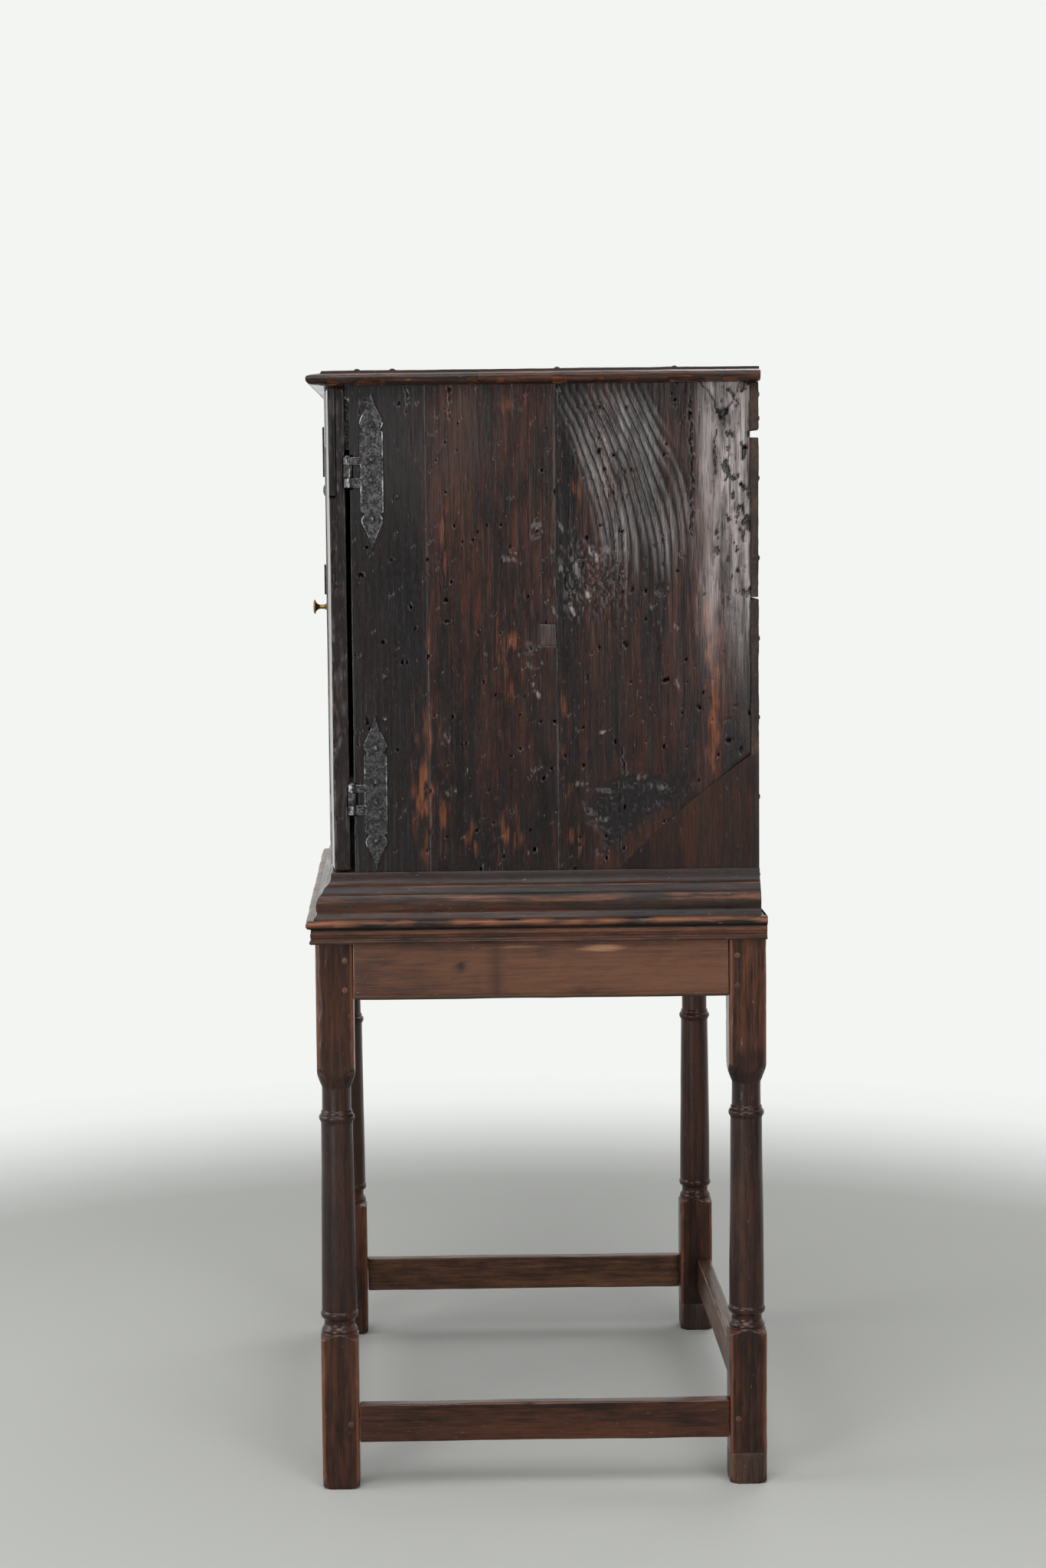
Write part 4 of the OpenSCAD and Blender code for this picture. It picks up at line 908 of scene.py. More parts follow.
    @staticmethod
    def weathered(shape: Shape) -> None:
        """Marks the photographed rail: a knot, a stain, a pale rubbed patch and a dark foot.

        Args:
            shape: The rail.
        """
        p = shape.points
        y, z = p[:, 1], p[:, 2]
        knot = spot(y, z, (-100.5, 711.5, 9, 7))
        p[:, 0] -= 1.6 * smooth(knot, 0.3, 0.9) * (p[:, 0] > 405)
        cloud = unit(0.5 + 0.9 * rough(p, (1, 70, 26), 61, 3))
        stain = 0.45 * spot(y, z, (-54, 705, 9, 60)) * (0.5 + cloud)
        foot = 0.75 * smooth(-z, -(z.min() + 8.0), -(z.min() + 1.0))
        front = 0.3 * cloud * smooth(-y, -20, 160)
        dark = np.maximum.reduce([0.85 * smooth(knot, 0.2, 0.7), stain, foot, front])
        pale = np.maximum(spot(y, z, (89, 735, 30, 5)), 0.5 * spot(y, z, (-20, 738, 70, 4)))
        shape.marks |= {"grime": unit(dark), "wear": unit(pale)}

    @staticmethod
    def chamfered(shape: Shape, low: np.ndarray) -> None:
        """Draws in the outer lower arris of a rail: 0.6 mm in for each mm below 7 mm of height.

        Args:
            shape: The rail.
            low: Its lowest corner.
        """
        p = shape.points
        a = int(np.argmin(np.ptp(p[:, :2], axis=0)))
        sign = np.sign(p[:, a].mean() - (0.0, (LEG_FRONT + LEG_BACK) / 2)[a])
        outer = (p[:, a] * sign).max()
        near = smooth(p[:, a] * sign, outer - 6.0, outer - 1.0)
        depth = np.clip(low[2] + 7.0 - p[:, 2], 0, 7) * 0.6
        p[:, a] -= sign * near * depth
        shape.marks["edge"] = np.maximum(shape.marks["edge"], 0.6 * near * (depth > 0.2))

    def pegs(self) -> None:
        """Makes the heads of the oak pegs: eight-sided domes, a little proud of the legs."""
        head = np.array([[0, -3], [4.3, -3], [4.3, 0.1], [3.9, 0.5], [2.2, 0.75], [0, 0.8]])
        peg, half, inset = turned_shape(head, 8), self.leg / 2, self.peg_inset
        u, v, w = peg.points.T
        pegs = []
        depths = ((-1, LEG_FRONT), (1, LEG_BACK))
        for side, (back, y), (i, z) in product((1, -1), depths, enumerate(self.peg_heights)):
            up = z + v + 0.25 * math.sin(7.0 * z + y)
            for q in ((side * (LEG_X + half + w), y - back * inset + u, up),
                      (side * (LEG_X - inset) + u, y + back * (half + w), up)):
                board = {"board": np.full(len(u), 0.3 * i)}
                pegs.append(outward(Shape(np.stack(q, axis=1), peg.faces, board)))
        settle(reduce(Shape.joined, pegs), "peg_heads", "cabinet", ["stand_pegs"],
               RAIL_OAK.material(Grain.DEEP))

    def board(self) -> None:
        """Makes the board on top, with a round nosing over a narrow flat on three sides."""
        low, high = corners("stand_top")
        h = high[2]
        nose = [(6.5, low[2]), (6.5, h - 12.0), (7.4, h - 9.6)] + arc(5.75, h - 2.7, 5.75, 5.75, 262, 98, 13)
        nose += [(7.5, h + 3.0), (11.6, h + 2.8), (12.6, h)]
        lines = [shares(high[a] - low[a], 6.0) for a in (0, 1)]
        shape = moulded_slab(lines, np.array(nose), low[:2], high[:2], (1, 1, 1, 0))
        p = shape.points
        side = shape.marks.pop("side")
        front = 1.0 * (p[:, 1] < low[1] + 12)
        inward = np.stack([-np.sign(p[:, 0]) * (np.abs(p[:, 0]) > high[0] - 12), front, 0 * front], axis=1)
        dip = 0.5 + 0.8 * rough(p, (60, 60, 40), 71) + 1.4 * smooth(rough(p, (14, 14, 9), 72), 0.3, 0.8)
        shape.points = p + inward * (np.clip(dip, 0, 3) * side)[:, None]
        shape.points[:, 2] += 0.25 * rough(p, (70, 70, 70), 73) * (1 - side)
        rubbed = (0.15 + 0.65 * smooth(p[:, 2], h - 7.5, h - 3.0)) * (0.85 + 0.9 * rough(p, (45, 45, 8), 74))
        shape.marks = {"edge": unit(side * rubbed), "board": np.full(len(p), 3.3),
                       # painted shade: a dark band in the hollow under the nosing
                       "grime": 0.75 * side * smooth(-np.abs(p[:, 2] - h + 9.6), -3.0, -0.5),
                       "wear": 0.5 * side * (p[:, 2] < h - 11.0), "slick": 0.9 * front}
        settle(shape, "moulded_stand_top", "cabinet", ["stand_top"],
               BASE_OAK.material(Grain.DEEP))

    def build(self) -> None:
        """Makes all pieces of the stand."""
        self.legs()
        self.bars()
        self.pegs()
        self.board()
        Mouldings("stand_moulding", 423.5, -301.75, 307.25, self.bead(), 81).build()

    @staticmethod
    def bead() -> np.ndarray:
        """Draws the small moulding under the board: a bead below a cove, closed at its back.

        Returns:
            Pairs of inset and height.
        """
        z = 744.5
        bead = [(7.0, z), (1.6, z)] + arc(2.4, z + 2.6, 2.4, 2.4, 235, 110, 8)
        cove = [(2.2, z + 5.4), (2.6, z + 6.2), (2.7, z + 7.2), (2.2, z + 8.6), (1.6, z + 9.6), (1.4, z + 13)]
        return np.array(bead + cove + [(7.0, z + 13)])


@dataclass
class Mouldings:
    """Front, right and left run of a moulding, mitred at the front corners."""

    node: str
    half: float
    front: float
    back: float
    profile: np.ndarray
    seed: int
    bruise: float = 0.5
    lit: float = 0.0

    def bruised(self, shape: Shape, direction: tuple[float, float], seed: int) -> Shape:
        """Moves the face of a run in and out by noise stretched along it, and marks its arrises.

        Args:
            shape: The run.
            direction: Way it faces, as X and Y.
            seed: Number that picks the pattern.

        Returns:
            The run, with its marks.
        """
        p, n = shape.points, len(shape.points)
        size = (9.0, 70.0, 9.0) if direction[0] else (70.0, 9.0, 9.0)
        small = (5.0, 11.0, 5.0) if direction[0] else (11.0, 5.0, 5.0)
        dent = self.bruise * rough(p, size, seed) - self.bruise * 0.5
        dent -= 1.1 * self.bruise * smooth(rough(p, small, seed + 2), 0.45, 0.9)
        shape.points = p + np.array([*direction, 0.0]) * dent[:, None]
        patchy = unit(0.75 + 0.6 * rough(p, size, seed + 5))
        up = p[:, 2] - self.profile[:, 1].min()
        cloud = smooth(rough(p, size, seed + 6), -0.3, 0.6)
        fascia, cove = smooth(up, 46.8, 48.6), smooth(-np.abs(up - 39.6), -4.6, -3.0)
        dashes = smooth(rough(p, (8, 9, 8), seed + 8, 2), 0.1, 0.3) * (np.abs(up - 31.4) < 0.7)
        # the band in the hollow is painted shade; the upper fascia and the foot are simply darker, and the
        # dashes are splits along the fillet
        dark = np.maximum.reduce([0.6 * fascia, 0.7 * cove, 0.8 * dashes * (p[:, 1] < -150),
                                  0.5 * smooth(-up, -11, -9)])
        edge = np.tile(self.ridge(), n // len(self.profile)) * (1 - 0.6 * fascia)
        rubbed = (0.5 + 0.5 * cloud) * smooth(-np.abs(up - 29.0), -7.5, -2.5)
        shape.marks = {"edge": np.maximum(edge, (np.abs(up - 45.3) < 0.8) * self.lit) * patchy,
                       "board": np.full(n, seed * 0.29), "slick": np.full(n, 0.9 * (direction[1] < 0)),
                       "grime": self.lit * dark, "wear": 0.52 * self.lit * rubbed}
        return outward(shape)

    def ridge(self) -> np.ndarray:
        """Marks how far each profile point stands out as an arris, by the sine of its corner.

        Returns:
            Values from 0 to 1, and 0 on the back and the top.
        """
        q = self.profile
        a, b = q - np.roll(q, 1, axis=0), np.roll(q, -1, axis=0) - q
        turn = a[:, 0] * b[:, 1] - a[:, 1] * b[:, 0]
        size = np.linalg.norm(a, axis=1) * np.linalg.norm(b, axis=1) + 1e-9
        return unit(-turn / size * 1.6) * (q[:, 0] < 22.0) * (q[:, 1] < q[:, 1].max() - 0.5)

    def build(self) -> None:
        """Makes the three runs."""
        inset = self.profile[:, 0]
        back, front, wide = np.full(len(inset), self.back), self.front + inset, self.half - inset
        for side, way, start, end, more, place in (
                ("right", (1.0, 0.0), front, back, 0, lambda s, o, u: (self.half - o, s, u)),
                ("left", (-1.0, 0.0), front, back, 9, lambda s, o, u: (o - self.half, s, u)),
                ("front", (0.0, -1.0), -wide, wide, 17, lambda s, o, u: (s, self.front + o, u))):
            run = run_of_moulding(self.profile, start, end, 5.0, place)
            settle(self.bruised(run, way, self.seed + more), f"worn_{self.node}_{side}", "cabinet",
                   [f"{self.node}_{side}"],
                   BASE_OAK.material(Grain.DEEP if way[0] else Grain.ACROSS))


# Case

def base_profile() -> np.ndarray:
    """Draws the base moulding: foot, fillet, round, hollow, fillet, fascia.

    Returns:
        Pairs of inset and height round it.
    """
    height, depth, back = BASE_TOP - CASE_FOOT, 24.5, 28.0
    pairs = [(0, 0), (0.02, 0.045), (0.05, 0.08), (0.09, 0.105), (0.12, 0.118), (0.145, 0.13), (0.16, 0.142),
             (0.19, 0.158), (0.215, 0.175), (0.21, 0.2), (0.185, 0.23), (0.165, 0.265), (0.158, 0.31),
             (0.168, 0.36), (0.19, 0.41), (0.225, 0.455), (0.27, 0.495), (0.31, 0.52), (0.33, 0.53),
             (0.345, 0.54), (0.37, 0.548), (0.41, 0.556), (0.46, 0.578), (0.52, 0.61), (0.575, 0.65),
             (0.61, 0.685), (0.625, 0.7), (0.645, 0.71), (0.67, 0.717), (0.71, 0.726), (0.78, 0.745),
             (0.86, 0.78), (0.92, 0.82), (0.955, 0.86), (0.975, 0.91), (0.985, 0.985), (1.01, 1)]
    edge = [(a * depth, CASE_FOOT + b * height) for a, b in pairs]
    return np.array(edge + [(back, BASE_TOP), (back, CASE_FOOT)])


def on_side(y: np.ndarray, z: np.ndarray) -> np.ndarray:
    """Returns points of the plane x = 0, on which the patterns of the side boards are laid."""
    return np.stack([np.zeros_like(y), y, z], axis=1)


@dataclass
class SideFace:
    """The photographed right side: joints, raised grain, knots, gouges, wear and painted glints, in mm.

    Marks are middle y, middle z, half size y, half size z and strength (for dents, their depth).
    """

    ripple_low: float = 1261.0
    ripple_high: float = 1476.0
    ripple_mid: float = 132.0
    ripple_half: float = 66.0
    ripple_pitch: float = 10.5
    lean: float = 68.0
    crack_width: float = 0.95
    wears: tuple = (
        (-34, 1459, 61, 22, .35), (-117, 1283, 8, 76, .5), (32, 1423, 8, 61, .45), (60, 1349, 8, 40, .45),
        (236, 1188, 12, 61, .5), (-45, 1225, 25, 30, .3), (-141, 1142, 7, 111, .5), (-149, 958, 15, 95, .8),
        (-121, 937, 11, 61, .45), (-33, 1149, 20, 71, .5), (-7, 1181, 8, 30, .6), (41, 1029, 5, 50, .6),
        (47, 939, 4, 20, .6), (-32, 882, 25, 35, .6), (54, 869, 18, 25, .5), (236, 1158, 12, 101, .7),
        (238, 1027, 10, 61, .7), (-83, 879, 12, 30, .5), (122, 1163, 10, 25, .35), (94, 1176, 10, 20, .3),
        (-139, 994, 5, 61, .8), (-128, 1437, 22, 18, .35))
    dents: tuple = (
        (6, 1287, 6, 9, 1.6), (-30, 1257, 9, 6, 1.4), (-132, 1419, 9, 4, 1.0), (-16, 1455, 12, 7, .6),
        (73, 1448, 17, 6, .7), (92, 1260, 9, 9, 2.0), (74, 1233, 14, 20, 2.2), (109, 1235, 8, 16, 1.8),
        (173, 1210, 9, 8, 1.4), (49, 1226, 7, 20, 1.8), (-6, 1130, 12, 6, 1.2), (4, 1114, 10, 8, 1.4),
        (-110, 944, 7, 6, 1.2), (6, 974, 6, 5, 1.4), (-117, 1018, 5, 12, 1.0), (3, 977, 7, 7, .8),
        (259, 1279, 6, 12, 1.2), (239, 1340, 5, 14, 1.2), (284, 1319, 6, 26, 1.6), (264, 1380, 6, 7, 1.2),
        (254, 1432, 10, 14, 1.2))
    # painted glints: pale flecks standing in for small highlights
    painted_glints: tuple = (
        (81, 1258, 5, 11, .8), (72, 1206, 3, 15, .9), (52, 1185, 3, 12, 1.0), (3, 1077, 3, 11, .9),
        (36, 1296, 3, 9, .5), (-30, 1251, 11, 3, .35), (6, 1296, 9, 7, .35), (-14, 1142, 4, 3, .3),
        (28, 1183, 2, 12, .4), (100, 1262, 7, 9, .5), (-116, 1016, 2, 8, .5), (36, 1240, 3, 30, .4),
        (-60, 1127, 5, 3, .3), (-6, 1137, 9, 7, .2), (164, 1172, 1.8, 22, .5), (62, 952, 10, 3, .45),
        (139, 960, 12, 4, .45), (168, 947, 13, 4, .4), (90, 905, 8, 5, .4), (190, 1160, 3, 9, .35),
        (193, 1081, 1.8, 14, .5), (89, 1021, 7, 2, .7), (60, 1235, 4, 22, .6), (-4, 1114, 7, 6, .2))
    stains: tuple = (
        (-190, 1180, 40, 500, .4), (-80, 1390, 60, 60, .3), (109, 930, 70, 70, .3), (10, 1010, 20, 60, .35),
        (100, 1240, 40, 40, .4), (130, 1050, 75, 120, .36), (-54, 930, 60, 90, .2), (283, 1340, 12, 60, .5),
        (254, 1432, 13, 20, .6))
    cracks: tuple = (((-107, 1480), (-108, 1454), (-106, 1438)), ((-164, 1481), (-163, 1445)),
                     ((225, 1483), (239, 1461), (253, 1431), (267, 1460), (277, 1480)),
                     ((245, 1420), (242, 1390), (245, 1360)), ((209, 1461), (213, 1371), (211, 1280)),
                     ((36, 1486), (37, 1463)), ((-216, 1463), (-225, 1462), (-225, 1445)),
                     ((118, 1000), (121, 960)), ((-70, 846), (-70, 838)))

    def cracked(self, y: np.ndarray, z: np.ndarray) -> np.ndarray:
        """Gives the nearness to a crack, exp of -(d / width) squared at the distance d.

        Args:
            y: Places behind the middle of the stand.
            z: Heights above the floor.

        Returns:
            Values from 0 to 1.
        """
        near = np.full(len(y), np.inf)
        wavy = y + 1.2 * np.sin(z / 6.0) + 0.8 * np.sin(z / 2.3)
        for line in self.cracks:
            for (y0, z0), (y1, z1) in zip(line[:-1], line[1:]):
                ey, ez = y1 - y0, z1 - z0
                share = unit(((wavy - y0) * ey + (z - z0) * ez) / (ey * ey + ez * ez))
                near = np.minimum(near, np.hypot(wavy - y0 - share * ey, z - z0 - share * ez))
        return np.exp(-(near / self.crack_width) ** 2)

    @staticmethod
    def back_zone(y: np.ndarray, z: np.ndarray) -> tuple[np.ndarray, np.ndarray]:
        """Gives the two patterns of the weathered back edge.

        Args:
            y: Places behind the middle of the stand.
            z: Heights above the floor.

        Returns:
            Noise of its open grain, and its holes from 0 to 1.
        """
        p = on_side(y, z)
        holes = smooth(y, 238, 246) * smooth(z, 1150, 1230) * smooth(rough(p, (1, 7, 14), 227, 4), 0.42, 0.55)
        return rough(p, (1, 5, 34), 214, 3), holes

    def face(self, y: np.ndarray, z: np.ndarray) -> np.ndarray:
        """Works out the height of the side's surface.

        It is the sum of a slow unevenness, ridges along the grain, leaning ripples whose phase is
        (y + lean s squared) / pitch with s the share up the zone, soft dents, a torn area, and the
        square of the distance past y = 222, by which the back edge is cupped away.

        Args:
            y: Places behind the middle of the stand.
            z: Heights above the floor.

        Returns:
            Heights over the flat side.
        """
        p = on_side(y, z)
        h = 0.55 * rough(p, (1, 60, 220), 201) + 0.16 * rough(p, (1, 4.5, 70), 203, 2) - 0.45
        zone, crest = self.ripple(y, z)
        h += zone * (1.8 * crest - 0.9) - 2.2 * self.cracked(y, z)
        chip = 0.4 * rough(p, (1, 6, 9), 213, 3)
        for mark in self.dents:
            h -= mark[4] * 0.95 * smooth(spot(y, z, mark) + chip, 0.3, 0.62)
        splinters = 0.9 * rough(p, (1, 15, 9), 211, 3)
        h -= self.torn(y, z) * (1.7 + splinters + 0.6 * rough(p, (1, 6, 4.5), 212, 3))
        h -= 3.6 * np.clip((y - 222.0) / 67.0, 0, 1.1) ** 2
        grain, holes = self.back_zone(y, z)
        h -= 1.8 * holes
        h -= 0.9 * (smooth(y, 195, 240) * smooth(z, 1060, 1200)) * smooth(grain, 0.12, 0.6)
        gouged = smooth(-np.abs((z - 1225) / 70), -1, -0.3) * smooth(-np.abs((y - 78) / 66), -1, -0.3)
        h += gouged * (1.3 - 3.4 * np.abs(rough(p, (1, 8, 17), 216, 3)))
        return np.minimum(h, 0.9)

    def ripple(self, y: np.ndarray, z: np.ndarray) -> tuple[np.ndarray, np.ndarray]:
        """Works out the raised grain, leaning waves about 10 mm apart.

        Args:
            y: Places behind the middle of the stand.
            z: Heights above the floor.

        Returns:
            Strength of the zone, and the height of its crests from 0 to 1.
        """
        p = on_side(y, z)
        s = (z - self.ripple_low) / (self.ripple_high - self.ripple_low)
        bend = self.lean * unit(s) ** 1.6
        phase = (y + bend) / self.ripple_pitch + 0.5 * rough(p, (1, 40, 150), 205, 2)
        across = smooth(-np.abs((y + bend - self.ripple_mid - 22) / (self.ripple_half + 8)), -1, -0.7)
        zone = across * smooth(s, -0.28, 0.12) * smooth(-s, -1.08, -0.8) * (y > 33)
        crest = (1.0 - np.abs(np.sin(math.pi * phase))) ** 1.25
        return zone * np.clip(0.9 + 0.7 * rough(p, (1, 30, 90), 207, 2), 0, 2), crest

    def torn(self, y: np.ndarray, z: np.ndarray) -> np.ndarray:
        """Marks the rough gouged area beside the corner repair.

        Args:
            y: Places behind the middle of the stand.
            z: Heights above the floor.

        Returns:
            Values from 0 to 1.
        """
        ragged = 16.0 * rough(on_side(y, z), (1, 40, 18), 209)
        slope = 858 + 0.78 * (y - 84)
        upper = smooth(-(z + ragged), -(966.0 - 0.25 * np.clip(150 - y, 0, 80)), -945)
        return upper * smooth(z, slope - 18, slope + 4) * smooth(y + ragged, 74, 96) * smooth(-y, -236, -222)

    def marks(self, y: np.ndarray, z: np.ndarray) -> dict[str, np.ndarray]:
        """Works out where the side is rubbed, where dirt and painted shade darken it, and where painted sheen
        lies.

        Args:
            y: Places behind the middle of the stand.
            z: Heights above the floor.

        Returns:
            Values from 0 to 1 for wear, for dirt with painted shade, and for painted sheen.
        """
        p = on_side(y, z)
        wear = np.maximum.reduce([mark[4] * spot(y, z, mark) ** 0.7 for mark in self.wears])
        wear *= 0.62 + 0.9 * rough(p, (1, 6, 22), 221, 4)
        grime = np.maximum(0.9 * self.torn(y, z), 0.85 * (smooth(-y, 128, 150) * (1 - wear)))
        zone, crest = self.ripple(y, z)
        grain, holes = self.back_zone(y, z)
        pits = smooth(y, 205, 240) * smooth(z, 1060, 1200) * smooth(grain, 0.15, 0.5)
        # the term 0.75 zone (1 - crest) squared is painted shade in the troughs of the raised grain
        grime = np.maximum.reduce([grime, 0.5 * pits, 0.85 * holes, 0.9 * self.cracked(y, z),
                                   0.75 * zone * (1 - crest) ** 2]
                                  + [mark[4] * spot(y, z, mark) for mark in self.stains])
        # painted sheen: reflected light along the cupped back edge, kept off its dark places
        bloom = smooth(y, 208, 246) * smooth(z, 1050, 1290) * (0.75 + 0.7 * rough(p, (1, 9, 80), 223, 3))
        # painted highlights along the crests of the raised grain
        glint = crest * np.clip(0.9 + 1.1 * rough(p, (1, 12, 40), 225, 3), 0, 2)
        bloom = np.maximum(bloom * (1 - smooth(grime, 0.3, 0.7)), 0.42 * zone * glint)
        flecks = 1.0 + 1.3 * rough(p, (1, 3.4, 8), 229, 3)
        # painted glints, broken up by flecks of noise
        for mark in self.painted_glints:
            near = spot(y + 0.45 * (z - mark[1]) * (mark[3] > 7), z, mark) ** 0.6
            bloom = np.maximum(bloom, 0.8 * mark[4] * smooth(near * flecks, 0.65, 1.1))
        # painted shadow: a dark band on the boards beside each hinge leaf
        for top in Ironwork.tops:
            beside = np.abs(y - Ironwork.leaf_y) - Ironwork().half_width(z - top)
            grime = np.maximum(grime, (np.abs(z - top + 55) < 106) * smooth(-beside, -3.2, -1.6))
        # painted sheen: a faint grey reflection high on the front and middle boards
        painted_upper_sheen = smooth(-y, 20, 120) * smooth(z, 1230, 1400) + 0.7 * smooth(-y, -60, 90) * smooth(z, 1330, 1460)
        return {"wear": unit(wear), "grime": unit(grime), "bloom": unit(np.maximum(bloom, 0.05 * unit(painted_upper_sheen)))}


@dataclass
class Case:
    """Sides of three boards, back boards, bottom, shelves, and the moulding round its foot."""

    thick: float = 22.0
    pitch: float = 1.55
    side: SideFace = field(default_factory=SideFace)
    repair: tuple = (186.0, 159.0, 1066.0)
    repair_front: float = 114.3
    plug: tuple = (19.9, 1151.0)
    boards: tuple = (("front", CASE_FRONT, -139.75), ("middle", -139.35, 31.25), ("back", 31.65, CASE_BACK))
    back_spans: tuple = ((773.5, 983.8), (985.4, 1195.6), (1197.2, 1408.9), (1418.1, 1481.5))

    def seam(self, y: np.ndarray) -> np.ndarray:
        """Gives the height of the repair's sloping edge, an arc of a circle through its corners.

        Args:
            y: Places behind the middle of the stand.

        Returns:
            Heights above the floor.
        """
        wide, high, r = self.repair
        rise = math.sqrt(r * r - (wide ** 2 + high ** 2) / 4)
        a = math.atan(high / wide)
        cy, cz = BACK_FACE - wide / 2 + rise * math.sin(a), BASE_TOP + high / 2 - rise * math.cos(a)
        return cz + np.sqrt(np.maximum(r * r - (y - cy) ** 2, 0))

    def right_board(self, place: str, y0: float, y1: float, seed: int) -> None:
        """Makes one board of the right side with its part of the photographed surface.

        Args:
            place: Where the board is.
            y0: Its front edge.
            y1: Its back edge.
            seed: Number that picks its grain.
        """
        name = f"side_right_{place}_board"
        ys = steps(y0, y1, self.pitch, 1.2)
        cut = (place == "back") * (ys > self.repair_front)
        low = np.where(cut, np.maximum(self.seam(ys) + 0.35, BASE_TOP), CASE_FOOT)
        high = np.full(len(ys), CASE_HEAD)
        rows = int((CASE_HEAD - CASE_FOOT) / self.pitch / 1.35)

        def face(y: np.ndarray, z: np.ndarray) -> np.ndarray:
            """Lowers the side's surface at the joints, the plug, the repair and the knuckles.

            Args:
                y: Places behind the middle of the stand.
                z: Heights above the floor.

            Returns:
                Heights over the flat side.
            """
            edge = np.clip(np.minimum(y - y0, y1 - y), 0, None)
            worn = 1.0 + 0.8 * cell_noise(on_side(y * 0, z / 30), seed)
            h = self.side.face(y, z) - 0.2 * worn * np.exp(-edge / 0.7)
            h -= 1.4 * ((np.abs(y - self.plug[0]) < 11.6) & (np.abs(z - self.plug[1]) < 14.8))
            if place == "back":
                h -= 0.8 * np.exp(-np.abs(z - self.seam(y)) / 1.6)
            for middle in KNUCKLES:
                h = np.where((np.abs(z - middle) < 21.5) & (y < -236.2), -9.0, h)
            return h

        shape = sheet_board(ys, low, high, rows, face, SIDE_X - self.thick, SIDE_X)
        _, y, z = shape.points.T
        marks = self.side.marks(y, z)
        rim = np.exp(-np.clip(y1 - y, 0, None) / 1.5) * (place == "back")
        joint = np.minimum(*(np.abs(y - at) for at in BOARD_JOINTS))
        marks["grime"] = np.maximum(marks["grime"], 0.95 * np.exp(-(joint / 1.3) ** 2))
        marks["edge"] = rim * unit(0.3 + 0.5 * rough(shape.points, (1, 9, 50), seed + 2))
        marks["board"] = np.full(len(y), seed * 0.53)
        shape.marks = marks
        settle(shape, f"worn_{name}", "cabinet", [name], CASE_OAK.material(Grain.UP), 55)

    def repairs(self) -> None:
        """Makes the corner repair under its curved seam, and the square plug."""
        rear = 300.2
        ys = steps(self.repair_front, rear, 2.6, 1.0)

        def face(y: np.ndarray, z: np.ndarray) -> np.ndarray:
            """Works out the uneven face of the repair, lower at its seam and at its rear.

            Args:
                y: Places behind the middle of the stand.
                z: Heights above the floor.

            Returns:
                Heights over the flat side.
            """
            p = on_side(y, z)
            h = 0.35 * rough(p, (1, 70, 160), 231) + 0.07 * rough(p, (1, 4, 60), 232, 2) - 0.25
            return h - 0.9 * np.exp(-(self.seam(y) - z) / 1.4) - 0.8 * np.exp(-(rear - y) / 1.2)

        high = np.maximum(self.seam(ys) - 0.35, BASE_TOP + 0.4)
        corner = sheet_board(ys, np.full(len(ys), BASE_TOP), high, 64, face, SIDE_X - self.thick, SIDE_X)
        corner.marks = {"board": np.full(len(corner.points), 5.1)}
        plug = worn_block((384.0, 8.6, 1136.8), (389.7, 31.2, 1165.2), Wear(1.6, 0.9, 0.2, 1.8), 241, 1.4)
        plug.marks["edge"] *= 0.5
        plug.marks["grime"] = 0.9 * smooth(plug.points[:, 2], 1161.5, 1164.5)
        # a faint painted sheen on the plug
        plug.marks["bloom"] = np.full(len(plug.points), 0.12)
        settle(corner.joined(plug), "side_repairs", "cabinet", ["side_right_repairs"],
               PATCH_OAK.material(Grain.UP), 50)

    def left_side(self) -> None:
        """Makes the three boards of the hidden left side as plainer worn boards."""
        for i, (place, _, _) in enumerate(self.boards):
            name = f"side_left_{place}_board"
            low, high = corners(name)
            low[2], high[2] = CASE_FOOT, CASE_HEAD
            shape = worn_block(low, high, Wear(1.3, 0.5, 0.16, 0.5), 250 + i, 3.2)
            p = shape.points
            for middle in KNUCKLES:
                notch = (np.abs(p[:, 2] - middle) < 22.5) & (p[:, 1] < -235.5) & (p[:, 0] < -380.5)
                p[:, 0] = np.where(notch, -380.8, p[:, 0])
            shape.marks["wear"] = unit(0.62 * smooth(rough(p, (1, 26, 210), 254 + i), 0.1, 1.0))
            settle(shape, f"worn_{name}", "cabinet", [name], CASE_OAK.material(Grain.UP))

    def back(self) -> None:
        """Makes the four horizontal boards nailed on the back, rough and uneven at their ends."""
        low, high = corners("back_boards")
        boards = []
        for i, (z0, z1) in enumerate(self.back_spans):
            shape = worn_block((low[0], low[1] + 0.1, z0), (high[0], high[1], z1),
                               Wear(1.8, 0.6, 0.25, 1.6, 0), 260 + i, 4.2)
            p = shape.points
            end = smooth(np.abs(p[:, 0]), 384, 389)
            p[:, 0] -= np.sign(p[:, 0]) * end * (0.4 + 1.6 * smooth(rough(p, (9, 9, 13), 264 + i), -0.3, 0.8))
            inner = (i == 0) & (p[:, 0] > 388.0) & (p[:, 2] > BASE_TOP) & (p[:, 2] < BASE_TOP + 160)
            p[:, 0] = np.where(inner, SIDE_X - self.thick - 0.2, p[:, 0])
            shape.marks["grime"] = 0.8 * end * unit(0.8 + 0.5 * rough(p, (20, 20, 20), 268))
            shape.marks["edge"] *= 0.4
            boards.append(shape)
        settle(reduce(Shape.joined, boards), "nailed_back_boards", "cabinet", ["back_boards"],
               INSIDE_OAK.material(Grain.ACROSS))

